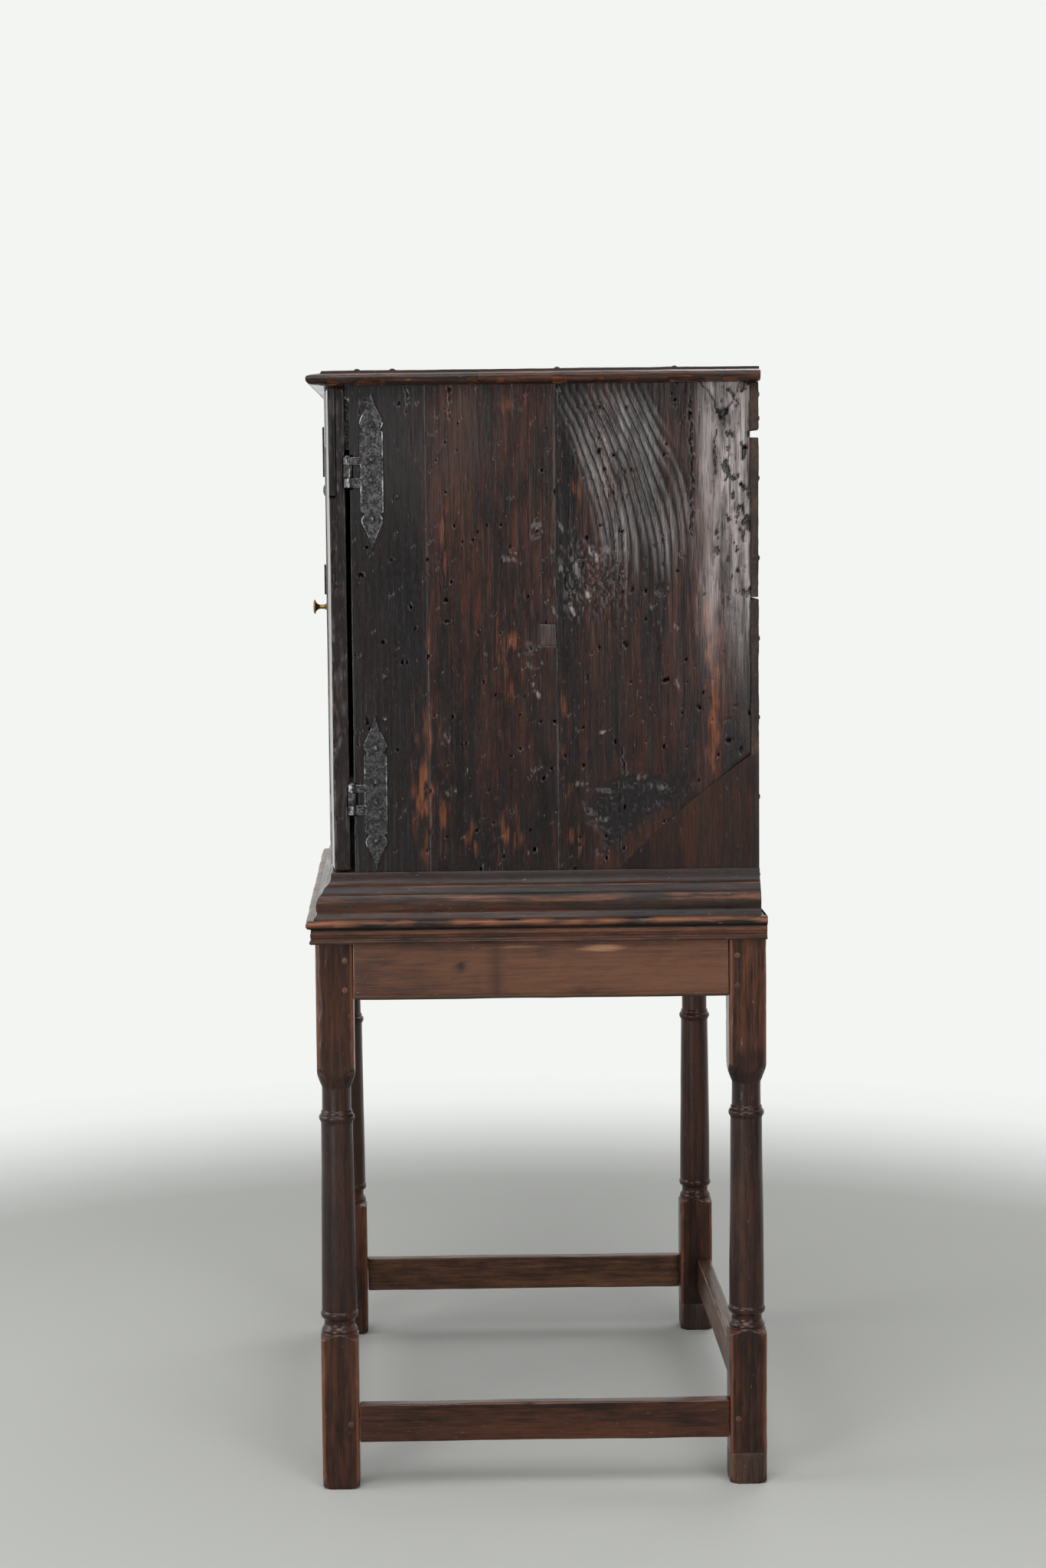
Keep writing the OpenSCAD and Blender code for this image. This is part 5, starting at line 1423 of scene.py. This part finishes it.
    def inside(self) -> None:
        """Makes the bottom, the two shelves, their bearers and the rail below the doors."""
        for i, name in enumerate(("bottom_board", "shelf_upper", "base_rail")):
            low, high = corners(name)
            shape = worn_block(low + 0.05, high - 0.05, Wear(1.2, 0.3, 0.12, 0.4, 0), 270 + i, 7.0)
            settle(shape, f"worn_{name}", "cabinet", [name], INSIDE_OAK.material(Grain.ACROSS))
        dress("shelf_lower", INSIDE_OAK.material(Grain.ACROSS))
        dress("shelf_bearers", INSIDE_OAK.material(Grain.DEEP))

    def build(self) -> None:
        """Makes all pieces of the case."""
        for seed, board in enumerate(self.boards, 1):
            self.right_board(*board, seed)
        self.repairs()
        self.left_side()
        self.back()
        self.inside()
        Mouldings("base_moulding", 418.0, -296.25, BACK_FACE, base_profile(), 301, 0.6, 1.0).build()


@dataclass
class CaseTop:
    """Top of two boards, its edge chipped and rubbed to a bright arris.

    Chips are middle y, half length and depth in mm.
    """

    under: float = 1482.0
    thick: float = 20.6
    width: float = 832.0
    chips: tuple = ((-212, 24, 3.4), (-78, 9, 2.2), (-40, 7, 1.6), (36, 12, 2.0), (88, 8, 1.5),
                    (130, 14, 2.2), (202, 26, 3.0), (262, 12, 1.8), (-262, 10, 2.4))

    def profile(self) -> np.ndarray:
        """Draws the moulded edge, from the underside up.

        Returns:
            Pairs of inset and height.
        """
        pairs = [(18, 0), (12, .03), (7, .07), (4.4, .11), (2.4, .17), (1.2, .24), (.4, .33), (0, .44),
                 (.1, .54), (.5, .62), (1.4, .68), (3.4, .72), (6, .76), (11, .80), (17, .835), (18.6, .85),
                 (19.8, .89), (20.6, .97), (21.4, 1.0)]
        return np.array([(a, self.under + self.thick * b) for a, b in pairs])

    def nibbled(self, p: np.ndarray) -> np.ndarray:
        """Works out how much is broken off the lower border of the edge.

        Args:
            p: Points of the board.

        Returns:
            Millimetres from 0 up.
        """
        lost = 2.4 * smooth(rough(p, (10, 10, 8), 312), 0.35, 0.9)
        for y, half, depth in self.chips:
            chip = depth * smooth(-np.abs(p[:, 1] - y) / half, -1.0, -0.55) * (p[:, 0] > 380)
            lost = np.maximum(lost, chip)
        return lost

    def build(self) -> None:
        """Makes the front and the back board of the top."""
        for i, name in enumerate(("top_front_board", "top_back_board")):
            low, high = corners(name)
            front = 1 - i
            shape = moulded_slab((shares(self.width, 3.6), shares(high[1] - low[1], 2.4)), self.profile(),
                                 low[:2], high[:2], (1, 1, front, 0))
            p = shape.points.copy()
            side = unit(shape.marks.pop("side"))
            facing = np.stack([-np.sign(p[:, 0]) * (np.abs(p[:, 0]) > 392),
                               1.0 * (p[:, 1] < -270) * front, np.zeros(len(p))], axis=1)
            below = smooth(-p[:, 2], -1489.5, -1485.0) * side
            lost = self.nibbled(p)
            dip = np.clip(0.5 + 0.6 * rough(p, (60, 60, 30), 313 + i), 0, 2)
            fascia = smooth(-p[:, 2], -1499, -1495) * side
            shape.points = p + facing * (dip * fascia + lost * below)[:, None]
            shape.points[:, 2] += 0.75 * lost * below
            sag = 1.1 * rough(p, (110, 110, 200), 316) + 0.2 * rough(p, (120, 13, 60), 318)
            shape.points[:, 2] += smooth(p[:, 2], 1484, 1497) * (np.minimum(sag, 0.9) - 0.9)
            line = smooth(-np.abs(p[:, 2] - 1496.8), -1.5, -0.3) * side
            broken = smooth(lost, 0.3, 1.2) * smooth(-p[:, 2], -1492, -1488) * side
            patchy = unit(0.85 + 0.7 * rough(p, (25, 25, 5), 320))
            band = 0.32 * fascia * unit(0.6 + 0.9 * rough(p, (60, 60, 9), 322))
            slick = 0.95 * ((p[:, 2] < 1484) & (p[:, 1] < -236)) - 2.2 * (1 - side) * (p[:, 2] > 1492)
            shape.marks = {"slick": slick, "edge": np.maximum(np.maximum(line, 0.8 * broken) * patchy, band),
                           "grime": 0.6 * smooth(p[:, 2], 1498, 1499.5), "board": np.full(len(p), 6.1 + i)}
            settle(shape, f"chipped_{name}", "cabinet", [name], TOP_OAK.material(Grain.DEEP), 50)


# Doors

@dataclass
class Doors:
    """Two panelled doors, built closed and then turned ajar about their pins."""

    ajar: float = 1.8
    front: float = -271.25
    back: float = -245.75
    low: float = 839.5
    high: float = 1479.0
    edge: float = SIDE_X
    meeting: float = 1.5
    stile: float = 72.0
    rail: float = 74.0
    tongue: float = 8.5

    def piece(self, name: str, low: Sequence[float], high: Sequence[float], wear: Wear, seed: int) -> Shape:
        """Makes a worn member of the right door and cuts the notches round the knuckles in it.

        Args:
            name: Name of the member.
            low: Lowest corner.
            high: Highest corner.
            wear: How it has worn.
            seed: Number that picks the pattern.

        Returns:
            The member of the closed right door.
        """
        shape = worn_block(low, high, wear, seed, 2.4)
        if name == "outer":
            p = shape.points
            for middle in KNUCKLES:
                notch = (np.abs(p[:, 2] - middle) < 21.6) & (p[:, 1] > -249.4) & (p[:, 0] > 385.0)
                p[:, 1] = np.where(notch, -249.4, p[:, 1])
            p[:, 0] -= 1.3 * smooth(rough(p, (6, 6, 9), seed + 21), 0.2, 0.8) * (p[:, 0] > 388.5)
        return shape

    def panel(self) -> Shape:
        """Makes the raised panel: its height over the tongue rises along a slope to the field.

        Depth at (x, z) is the tongue's, less the rise times the share of the way, from 0 at the
        margin to 1 past the slope, of the distance to the nearest edge.

        Returns:
            The panel of the closed right door.
        """
        x0, x1 = self.meeting + self.stile - self.tongue, self.edge - self.stile + self.tongue
        z0, z1 = self.low + self.rail - self.tongue, self.high - self.rail + self.tongue
        margin = np.array([0, 8.5, 14, 20.4, 20.6, 26, 34, 42, 46.6])
        xs = np.concatenate([x0 + margin, steps(x0 + 52, x1 - 52, 6), x1 - margin[::-1]])
        zs = np.concatenate([z0 + margin, steps(z0 + 52, z1 - 52, 8), z1 - margin[::-1]])
        triples, quads = lattice((len(xs), 2, len(zs)))
        x, z, face = xs[triples[:, 0]], zs[triples[:, 2]], triples[:, 1] == 0
        reach = np.minimum(np.minimum(x - x0, x1 - x), np.minimum(z - z0, z1 - z))
        rise = 5.0 * unit((reach - 20.5) / 26.0)
        front = self.front + 9.0 - rise + 0.8 * smooth(reach, 46.4, 47.5)
        p = np.stack([x, np.where(face, front, self.front + 16.0), z], axis=1)
        p[:, 1] += (0.3 * rough(p, (60, 1, 160), 331) + 0.1 * rough(p, (5, 1, 70), 332)) * face
        patchy = unit(0.5 + 0.9 * rough(p, (30, 1, 60), 334)) * face
        return outward(Shape(p, [quads], {"edge": 0.7 * patchy * smooth(-np.abs(reach - 47), -3, 0),
                                          "board": np.full(len(p), 4.7)}))

    def side(self, right: bool) -> None:
        """Makes one door.

        Args:
            right: True for the right door, False for its mirror image.
        """
        body = "right_door" if right else "left_door"
        f, b, s, r = self.front, self.back, self.stile, self.rail
        x0, x1, z0, z1 = self.meeting, self.edge, self.low, self.high
        wear = Wear(2.0, 0.6, 0.18, 1.3, 2)
        flat = Wear(1.3, 0.5, 0.18, 0.8, 0)
        parts = {"outer_stile": self.piece("outer", (x1 - s, f, z0), (x1, b, z1), wear, 341),
                 "meeting_stile": self.piece("meeting", (x0, f, z0), (x0 + s, b, z1), wear, 343),
                 "top_rail": worn_block((x0 + s - 0.2, f, z1 - r), (x1 - s + 0.2, b, z1), flat, 345, 3.2),
                 "bottom_rail": worn_block((x0 + s - 0.2, f, z0), (x1 - s + 0.2, b, z0 + r), flat, 347, 3.2),
                 "panel": self.panel()}
        if right:
            p = parts["outer_stile"].points
            slot_z = 1337.5 + (p[:, 1] - f) * 0.1
            cut = (p[:, 0] > 375.5) & (p[:, 1] < f + 11.8) & (p[:, 2] > slot_z)
            p[:, 0] = np.where(cut, 375.9, p[:, 0])
            parts["edge_patch"] = worn_block((376.2, f + 0.1, 1338.2), (x1 - 0.2, f + 11.3, z1 - 0.2),
                                             Wear(0.4, 0.3, 0.2, 0.5, 2), 351, 1.8)
        for name, shape in parts.items():
            x, _, z = shape.points.T
            if "outer" in name or "patch" in name:
                shape.points[:, 1] += 3.6 * smooth(x, 300, 392) * (shape.points[:, 1] < -262)
                face = smooth(x, 386.5, 389.0)
                shape.marks["slick"] = 0.9 * smooth(x, 325, 350) * (shape.points[:, 1] < -260) * (x < 388.8)
                # the edge face is darker, more so higher up
                shape.marks["grime"] = (0.65 + 0.2 * smooth(z, 1050, 1250)) * face
                shape.marks["edge"] *= 0.35 + 0.5 * smooth(-z, -1230, -1150)
                # pale flecks of painted sheen on the edge face
                shape.marks["bloom"] = 0.12 * face * smooth(rough(shape.points, (5, 5, 22), 361), 0.1, 0.7)
            if not right:
                shape = shape.mirrored()
            way = 1 if right else -1
            shape = shape.turned((way * PIN[0], PIN[1]), way * self.ajar)
            grain = Grain.ACROSS if "rail" in name else Grain.UP
            settle(shape, f"{body}_worn_{name}", body, [f"{body}_{name}"],
                   DOOR_OAK.material(grain), 45)

    def build(self) -> None:
        """Makes both doors."""
        self.side(True)
        self.side(False)


@dataclass
class Ironwork:
    """Hinge leaves, knuckles and pins, nail heads, lock, plates and hook, and the brass knob."""

    leaf_y: float = -211.0
    tops: tuple[float, float] = (1423.5, 996.5)
    width: float = 31.5
    straight: float = 110.0
    upper_point: float = 49.0
    lower_point: float = 46.0
    thick: float = 3.0
    knuckle: float = 5.4
    bore: float = 2.56
    heights: tuple[float, float, float] = (12.5, 16.5, 10.5)
    gap: float = 0.5
    drops: tuple[float, ...] = (-7, 39, 65, 117)

    def half_width(self, d: np.ndarray) -> np.ndarray:
        """Gives the half width of a leaf, which runs to a point above and below.

        Args:
            d: Heights over the top of its straight part.

        Returns:
            Half widths in millimetres.
        """
        share = np.array([.27, .40, .5, .52, .47, .34, .21, .12, .06, .02])
        at = np.array([0, .02, .13, .2, .31, .46, .62, .77, .9, 1.0])
        up = (at * self.upper_point)[1:], (share * self.width)[1:]
        down = ((-self.straight - at * self.lower_point)[::-1][:-1],
                (share * self.width * 0.92)[::-1][:-1])
        half = self.width / 2
        zs = [down[0], [-self.straight - .8, -self.straight + .4, 1.6 - self.straight, 3 - self.straight,
                        -3.0, -1.6, -0.4, .8], up[0]]
        step = [half * .6, half * .66, half * .93, half]
        ws = [down[1], step, step[::-1], up[1]]
        return np.interp(d, np.concatenate(zs), np.concatenate(ws))

    def leaf(self, top: float, seed: int) -> Shape:
        """Forges one leaf: y is the middle plus u times the half width, x the hammered face.

        Args:
            top: Height of the top of its straight part.
            seed: Number that picks its hammer marks.

        Returns:
            The leaf on the right side.
        """
        us = np.array([-1, -.93, -.84, -.7, -.5, -.36, -.25, -.12, 0, .12, .25, .36, .5, .7, .84, .93, 1.0])
        zs = np.linspace(-self.straight - self.lower_point, self.upper_point, 190)
        xs = np.array([0.0, 0.8, 1.0])
        triples, quads = lattice((3, len(us), len(zs)))
        u, z = us[triples[:, 1]], zs[triples[:, 2]]
        w = self.half_width(z)
        y = self.leaf_y + u * w
        p = np.stack([np.zeros(len(u)), y, z + top], axis=1)
        rim = np.exp(-(w - np.abs(u) * w) / 0.55)
        body = self.thick - 0.15 + 0.3 * rough(p, (1, 9, 9), seed) + 0.16 * rough(p, (1, 3, 3), seed + 3)
        body -= 0.9 * rim + 0.5 * smooth(rough(p, (1, 4, 4), seed + 5), 0.5, 0.9)
        low = smooth(-z, 70, 80) * smooth(z, -108, -100)
        body -= 0.7 * low * smooth(-np.abs(u), -0.7, -0.4) * smooth(rough(p, (1, 7, 7), seed + 9), 0.0, 0.4)
        groove = np.exp(-((z + self.straight + 34) / 0.8) ** 2) + np.exp(-((z + 76) / 1.0) ** 2) * 0.7
        body -= 0.6 * groove
        share = xs[triples[:, 0]]
        p[:, 0] = SIDE_X - 0.4 + share * (np.maximum(body, 0.4) + 0.4)
        inward = np.minimum(triples[:, 1], len(us) - 1 - triples[:, 1])
        line = np.select([inward == 1, inward == 2], [1.0, 0.3], 0.0)
        edge = line * (share > 0.5) * (0.5 + 0.9 * rough(p, (1, 12, 12), seed + 7))
        # painted shade: the outermost ring stands for the shadow along the leaf's edge and the grooves are
        # darkened; the lower leaf is also darker all over
        soot_and_shade = (inward == 0) * 0.9 + 0.7 * groove * (np.abs(u) < 0.9) + 0.4 * (top < 1200)
        # painted contact shadow: a dark ring round each nail head
        for drop in self.drops:
            far = np.hypot(p[:, 1] - self.leaf_y, z + drop)
            soot_and_shade = np.maximum(soot_and_shade, np.exp(-((far - 5.2) / 1.3) ** 2))
        return Shape(p, [quads], {"edge": unit(edge), "grime": unit(soot_and_shade)})

    def knuckles(self, spans: Sequence[tuple[float, float]], seed: int) -> Shape:
        """Forges knuckles as tubes round the pin, a little faceted by the hammer.

        Args:
            spans: Lower and upper end of each knuckle.
            seed: Number that picks the facets.

        Returns:
            The knuckles at the right side of the case.
        """
        r = self.knuckle
        made = []
        for z0, z1 in spans:
            ring = [(self.bore, z0), (r - 0.7, z0), (r - 0.1, z0 + 0.4)]
            ring += [(r, z) for z in np.linspace(z0 + 0.8, z1 - 0.8, 6)]
            ring += [(r - 0.1, z1 - 0.4), (r - 0.7, z1), (self.bore, z1)]
            shape = tube(np.array(ring), 28)
            p = shape.points
            outer = np.linalg.norm(p[:, :2], axis=1) > 3.5
            facet = 1.0 + 0.05 * rough(p, (5, 5, 30), seed) * outer
            p[:, :2] *= np.minimum(facet, 1.03)[:, None]
            shape.marks = {"edge": 0.8 * smooth(rough(p, (2.5, 2.5, 20), seed + 2), -0.1, 0.6) * outer}
            shape.points = p + (*PIN, 0)
            made.append(shape)
        return reduce(Shape.joined, made)

    def rod(self, foot: float, head: float) -> Shape:
        """Turns one hinge pin with its low head, which stands on the upper knuckle.

        Args:
            foot: Height of its lower end.
            head: Height of the upper end of the knuckles.

        Returns:
            The pin at the right side of the case.
        """
        profile = [(0, foot), (2.45, foot), (2.5, foot + .5), (2.5, head), (3.4, head + .05),
                   (3.5, head + .8), (2.8, head + 1.35), (1.3, head + 1.6), (0, head + 1.6)]
        pin = turned_shape(np.array(profile), 20)
        pin.points += (*PIN, 0)
        pin.marks = {"edge": 0.6 * (pin.points[:, 2] > head + .5)}
        return pin

    def hinges(self) -> None:
        """Makes the leaves with their knuckles on the case and on the doors, and the pins."""
        on_case, on_door, pins = [], [], []
        low, mid, high = self.heights
        for i, middle in enumerate(KNUCKLES):
            foot = middle - (low + mid + high + 2 * self.gap) / 2
            head = foot + low + mid + high + 2 * self.gap
            ends = [(foot, foot + low), (foot + low + mid + 2 * self.gap, head)]
            on_case += [self.leaf(self.tops[i], 401 + i), self.knuckles(ends, 411 + i)]
            on_case += [worn_block((389.7, PIN[1] + 2.7, z0 + .2), (392.9, self.leaf_y - 12, z1 - .2),
                                   Wear(0.7, 0.2, 0.1, 0.3, 1), 421 + i, 1.6) for z0, z1 in ends]
            z0 = foot + low + self.gap
            on_door.append(self.knuckles([(z0, z0 + mid)], 431 + i))
            on_door.append(worn_block((PIN[0] - 28.4, -245.7, z0 + 0.1),
                                      (PIN[0] - 2.8, -243.3, z0 + mid - 0.1),
                                      Wear(0.6, 0.1, 0.1, 0.2, 0), 441 + i, 2.0))
            on_door.append(worn_block((PIN[0] - 66, -245.7, z0 + mid / 2 - 19),
                                      (PIN[0] - 28, -243.3, z0 + mid / 2 + 19),
                                      Wear(0.8, 0.2, 0.1, 0.4, 0), 445 + i, 2.0))
            pins.append(self.rod(foot, head))
        case, door, pin = (reduce(Shape.joined, made) for made in (on_case, on_door, pins))
        door = door.turned(PIN, Doors.ajar)
        for shape, body, name, nodes in (
                (case.joined(case.mirrored()), "cabinet", "forged_case_hinges", ["hinge_case_leaves"]),
                (pin.joined(pin.mirrored()), "cabinet", "forged_hinge_pins", ["hinge_pins"]),
                (door, "right_door", "forged_right_door_hinges", ["right_door_hinge_leaves"]),
                (door.mirrored(), "left_door", "forged_left_door_hinges", ["left_door_hinge_leaves"])):
            settle(shape, name, body, nodes, IRON.material(), 50)

    def head(self, seed: int) -> Shape:
        """Forges a nail head about Z: a low dome whose outline and facets are uneven.

        The radius at angle a is that of the profile times one plus sines of 3 a and of 5 a.

        Args:
            seed: Number that picks its lobes.

        Returns:
            The head, standing on z = 0.
        """
        profile = np.array([(0, -1.2), (4.1, -1.2), (4.35, 0.1), (4.3, .5), (3.6, 1.35), (2.5, 2.0),
                            (1.2, 2.45), (0, 2.55)])
        shape = turned_shape(profile, 14)
        p = shape.points
        a = np.arctan2(p[:, 1], p[:, 0])
        lobes = 1.0 + 0.05 * np.sin(3 * a + seed) + 0.05 * np.sin(5 * a + 2.3 * seed) - 0.06
        p[:, :2] *= lobes[:, None]
        p[:, 2] -= 0.35 * unit(np.sin(a + seed * 1.7)) * smooth(p[:, 2], 0.4, 2.0)
        far = np.hypot(p[:, 0], p[:, 1])
        # painted contact shadow: the rim of each head is darkened
        shape.marks = {"edge": 0.35 * smooth(p[:, 2], 1.6, 2.4), "grime": 0.9 * smooth(far, 3.7, 4.1)}
        return outward(shape)

    def nails(self) -> None:
        """Makes all nail heads: on the hinges, loose in the sides, on the top and on the back."""
        places = []
        for top in self.tops:
            places += [("x", self.leaf_y, top - drop, 393.0) for drop in self.drops]
        places += [("x", y, z, SIDE_X) for y, z in ((-178.75, 1336), (-197.75, 1098), (-197.75, 1042))]
        places += [("z", 379.0, y, 1502.0) for y in (-228.75, -181.75, 35.25, 190.25)]
        wide = 211.833
        spans = [(CASE_FOOT + wide * i, wide - 1.5) for i in range(3)] + [(1418.0, 63.6)]
        places += [("y", 379.0, z + f * h, BACK_FACE) for z, h in spans for f in (0.25, 0.75)]
        heads = []
        for number, (way, a, b, base) in enumerate(places):
            for side in (1, -1):
                shape = self.head(number * 3 + side)
                x, y, z = shape.points.T
                q = {"x": (side * (base + z), a + y, b + x), "z": (side * a + x, b + y, base + z),
                     "y": (side * a + x, base + z, b + y)}[way]
                heads.append(outward(Shape(np.stack(q, axis=1), shape.faces, shape.marks)))
        settle(reduce(Shape.joined, heads), "forged_nail_heads", "cabinet", ["iron_nails"],
               IRON.material(), 60)

    def build(self) -> None:
        """Makes the hinges and nails, and dresses the metal that stays as solids."""
        self.hinges()
        self.nails()
        for node in ("lock_case", "lock_bolt", "lock_escutcheon", "upper_plate", "left_door_staples",
                     "door_hook", "hook_loop"):
            dress(node, IRON.material())
        dress("door_knob", BRASS.material())


# Studio

@dataclass
class Studio:
    """Pale floor, white background, large soft lamps, and the camera of the photograph."""

    focal: float = 4112.68
    place: tuple[float, float, float] = (4.56527, -0.15845, 1.34856)
    pitch: float = 5.3968
    yaw: float = 0.5702
    roll: float = -0.6411
    middle: float = 583.0
    pixels: tuple[float, float] = (1366.0, 2048.0)
    sensor: float = 36.0
    white: str = "#f3f5f3"
    lamps: tuple = (
        ("right_window", (3.8, 1.75, 1.75), (0.39, 0.2, 1.2), (1.3, 1.9), 56),
        ("left_window", (0.5, -3.1, 1.7), (0.2, -0.27, 1.0), (1.8, 2.4), 60),
        ("ceiling_panel", (2.6, -0.4, 3.7), (0.3, 0.0, 0.9), (2.4, 2.4), 92),
        ("far_window", (6.4, 0.3, 2.9), (0.4, 0.0, 1.4), (3.2, 1.6), 8),
        ("low_fill", (3.4, -2.0, 0.7), (0.1, 0.0, 0.35), (1.2, 0.9), 42),
        ("back_panel", (-1.9, 1.2, 2.6), (0.0, 0.2, 0.9), (1.6, 1.6), 25))

    @staticmethod
    def posed(obj: bpy.types.Object, axes: Sequence[Sequence[float]], place: Sequence[float]) -> None:
        """Puts an object into the scene.

        Args:
            obj: The lamp or the camera.
            axes: Directions of its x, y and z.
            place: Where it stands, in metres.
        """
        rows = [[*(axis[i] for axis in axes), place[i]] for i in range(3)]
        obj.matrix_world = Matrix(rows + [[0, 0, 0, 1]])
        bpy.context.scene.collection.objects.link(obj)

    def camera(self) -> None:
        """Puts the camera at the photograph's angle, with its small shift."""
        p, y, r = (math.radians(v) for v in (self.pitch, self.yaw, self.roll))
        ahead = np.array([-math.cos(y), math.sin(y), 0.0])
        right = np.array([math.sin(y), math.cos(y), 0.0])
        up = np.array([0.0, 0.0, 1.0])
        f2 = ahead * math.cos(p) - up * math.sin(p)
        u2 = ahead * math.sin(p) + up * math.cos(p)
        cx = math.cos(r) * right + math.sin(r) * u2
        cy = math.cos(r) * u2 - math.sin(r) * right
        data = bpy.data.cameras.new("photograph_view")
        wide, high = self.pixels
        data.sensor_width = self.sensor
        data.lens = self.focal * self.sensor / high
        data.shift_x = (wide / 2 - self.middle) / high
        data.clip_end = 100.0
        obj = bpy.data.objects.new("photograph_view", data)
        self.posed(obj, (cx, cy, -f2), self.place)
        bpy.context.scene.camera = obj

    def lamp(self, name: str, place: Sequence[float], aim: Sequence[float], size: tuple[float, float],
             power: float) -> None:
        """Hangs a soft rectangular lamp.

        Args:
            name: Name of the lamp.
            place: Its middle in metres.
            aim: Point that it faces.
            size: Width and height in metres.
            power: Watts.
        """
        data = bpy.data.lights.new(name, "AREA")
        data.shape = "RECTANGLE"
        data.size, data.size_y = size
        data.energy = power
        obj = bpy.data.objects.new(name, data)
        z = np.array(place, float) - np.array(aim, float)
        z /= np.linalg.norm(z)
        x = np.cross([0, 0, 1.0] if abs(z[2]) < 0.99 else [0, 1.0, 0], z)
        x /= np.linalg.norm(x)
        obj.visible_camera = False
        self.posed(obj, (x, np.cross(z, x), z), place)

    def room(self) -> None:
        """Makes the floor: point (i, j) lies at angle i and radius j, with one point at the middle.

        It is pale grey round the object and turns into the white of the background past 1.5 m.
        """
        radii = np.array([0.3, 0.7, 1.0, 1.3, 1.5, 1.7, 1.9, 2.1, 2.3, 2.6, 3.2, 5.0, 12.0, 60.0]) / MM
        n, m = 48, len(radii)
        i = np.arange(n)
        fan = np.stack([i * m, (i + 1) % n * m, np.full(n, n * m)], axis=1)
        p = np.concatenate([around(np.stack([radii, 0 * radii], axis=1), n), [[0, 0, 0]]])
        far = smooth(np.hypot(p[:, 0], p[:, 1]), 1400.0, 2500.0)
        quads = grid_quads(n, m)[:, [0, 3, 2, 1]]
        floor = Shape(p, [quads, fan], {"far": far}).made("pale_studio_floor", 80)
        mat, add, shader = blank_material("matt_painted_studio_floor")
        share = add(Kind.MARK, attribute_name="far")
        fill(shader, {"Base Color": layered(add, linear("#a4a5a1"), ((share, "#bcbdba"),)), "Roughness": 0.9})
        behind = add(Kind.SPAN, add(Kind.X_OF, add(Kind.OBJECT_PLACE)), -0.5, 1.0, 1.0, 0.0)
        share = add(Kind.TIMES, self.background_rays(add, behind), share)
        glow = add(Kind.GLOW, linear(self.white), 1.0)
        fill(mat.node_tree.nodes["Material Output"],
             {"Surface": add(Kind.EITHER, share, shader.outputs[0], glow)})
        floor.data.materials.append(mat)

    @staticmethod
    def background_rays(add: Adder, behind: bpy.types.NodeSocket) -> bpy.types.NodeSocket:
        """Picks the rays that show the background: the camera's, and mirrored ones behind the object.

        Args:
            add: Adds a node to the tree.
            behind: 1 behind the object, 0 on the camera's side, where the studio is dim.

        Returns:
            1 for the background's white and 0 for the studio's own light.
        """
        mirrored = add(Kind.LARGER, add(Kind.MIRRORED_RAY), add(Kind.SENT_ON_RAY))
        return add(Kind.LARGER, add(Kind.CAMERA_RAY), add(Kind.TIMES, mirrored, behind))

    def world(self) -> None:
        """Sets a grey world, dim at the horizon and pale overhead, seen as a white background."""
        world = bpy.data.worlds.new("studio")
        bpy.context.scene.world = world
        world.use_nodes = True
        add = partial(add_node, world.node_tree)
        way = add(Kind.WAY)
        high = add(Kind.SPAN, add(Kind.Z_OF, way), 0.15, 0.9)
        seen = self.background_rays(add, add(Kind.SPAN, add(Kind.X_OF, way), -0.1, 0.15, 1.0, 0.0))
        colour = layered(add, linear("#3c3d3e"), ((high, "#d6d7d8"), (seen, self.white)))
        fill(world.node_tree.nodes["Background"], {"Color": colour, "Strength": 1.0})

    def build(self) -> None:
        """Sets up the studio."""
        self.camera()
        self.room()
        self.world()
        for lamp in self.lamps:
            self.lamp(*lamp)
        bpy.context.scene.view_settings.view_transform = "Standard"


def main() -> None:
    logging.basicConfig(level=logging.INFO, format="%(name)s: %(message)s")
    for part in (Stand(), Case(), CaseTop(), Doors(), Ironwork(), Studio()):
        part.build()
        LOG.info("built %s", type(part).__name__)


if __name__ == "__main__":
    main()
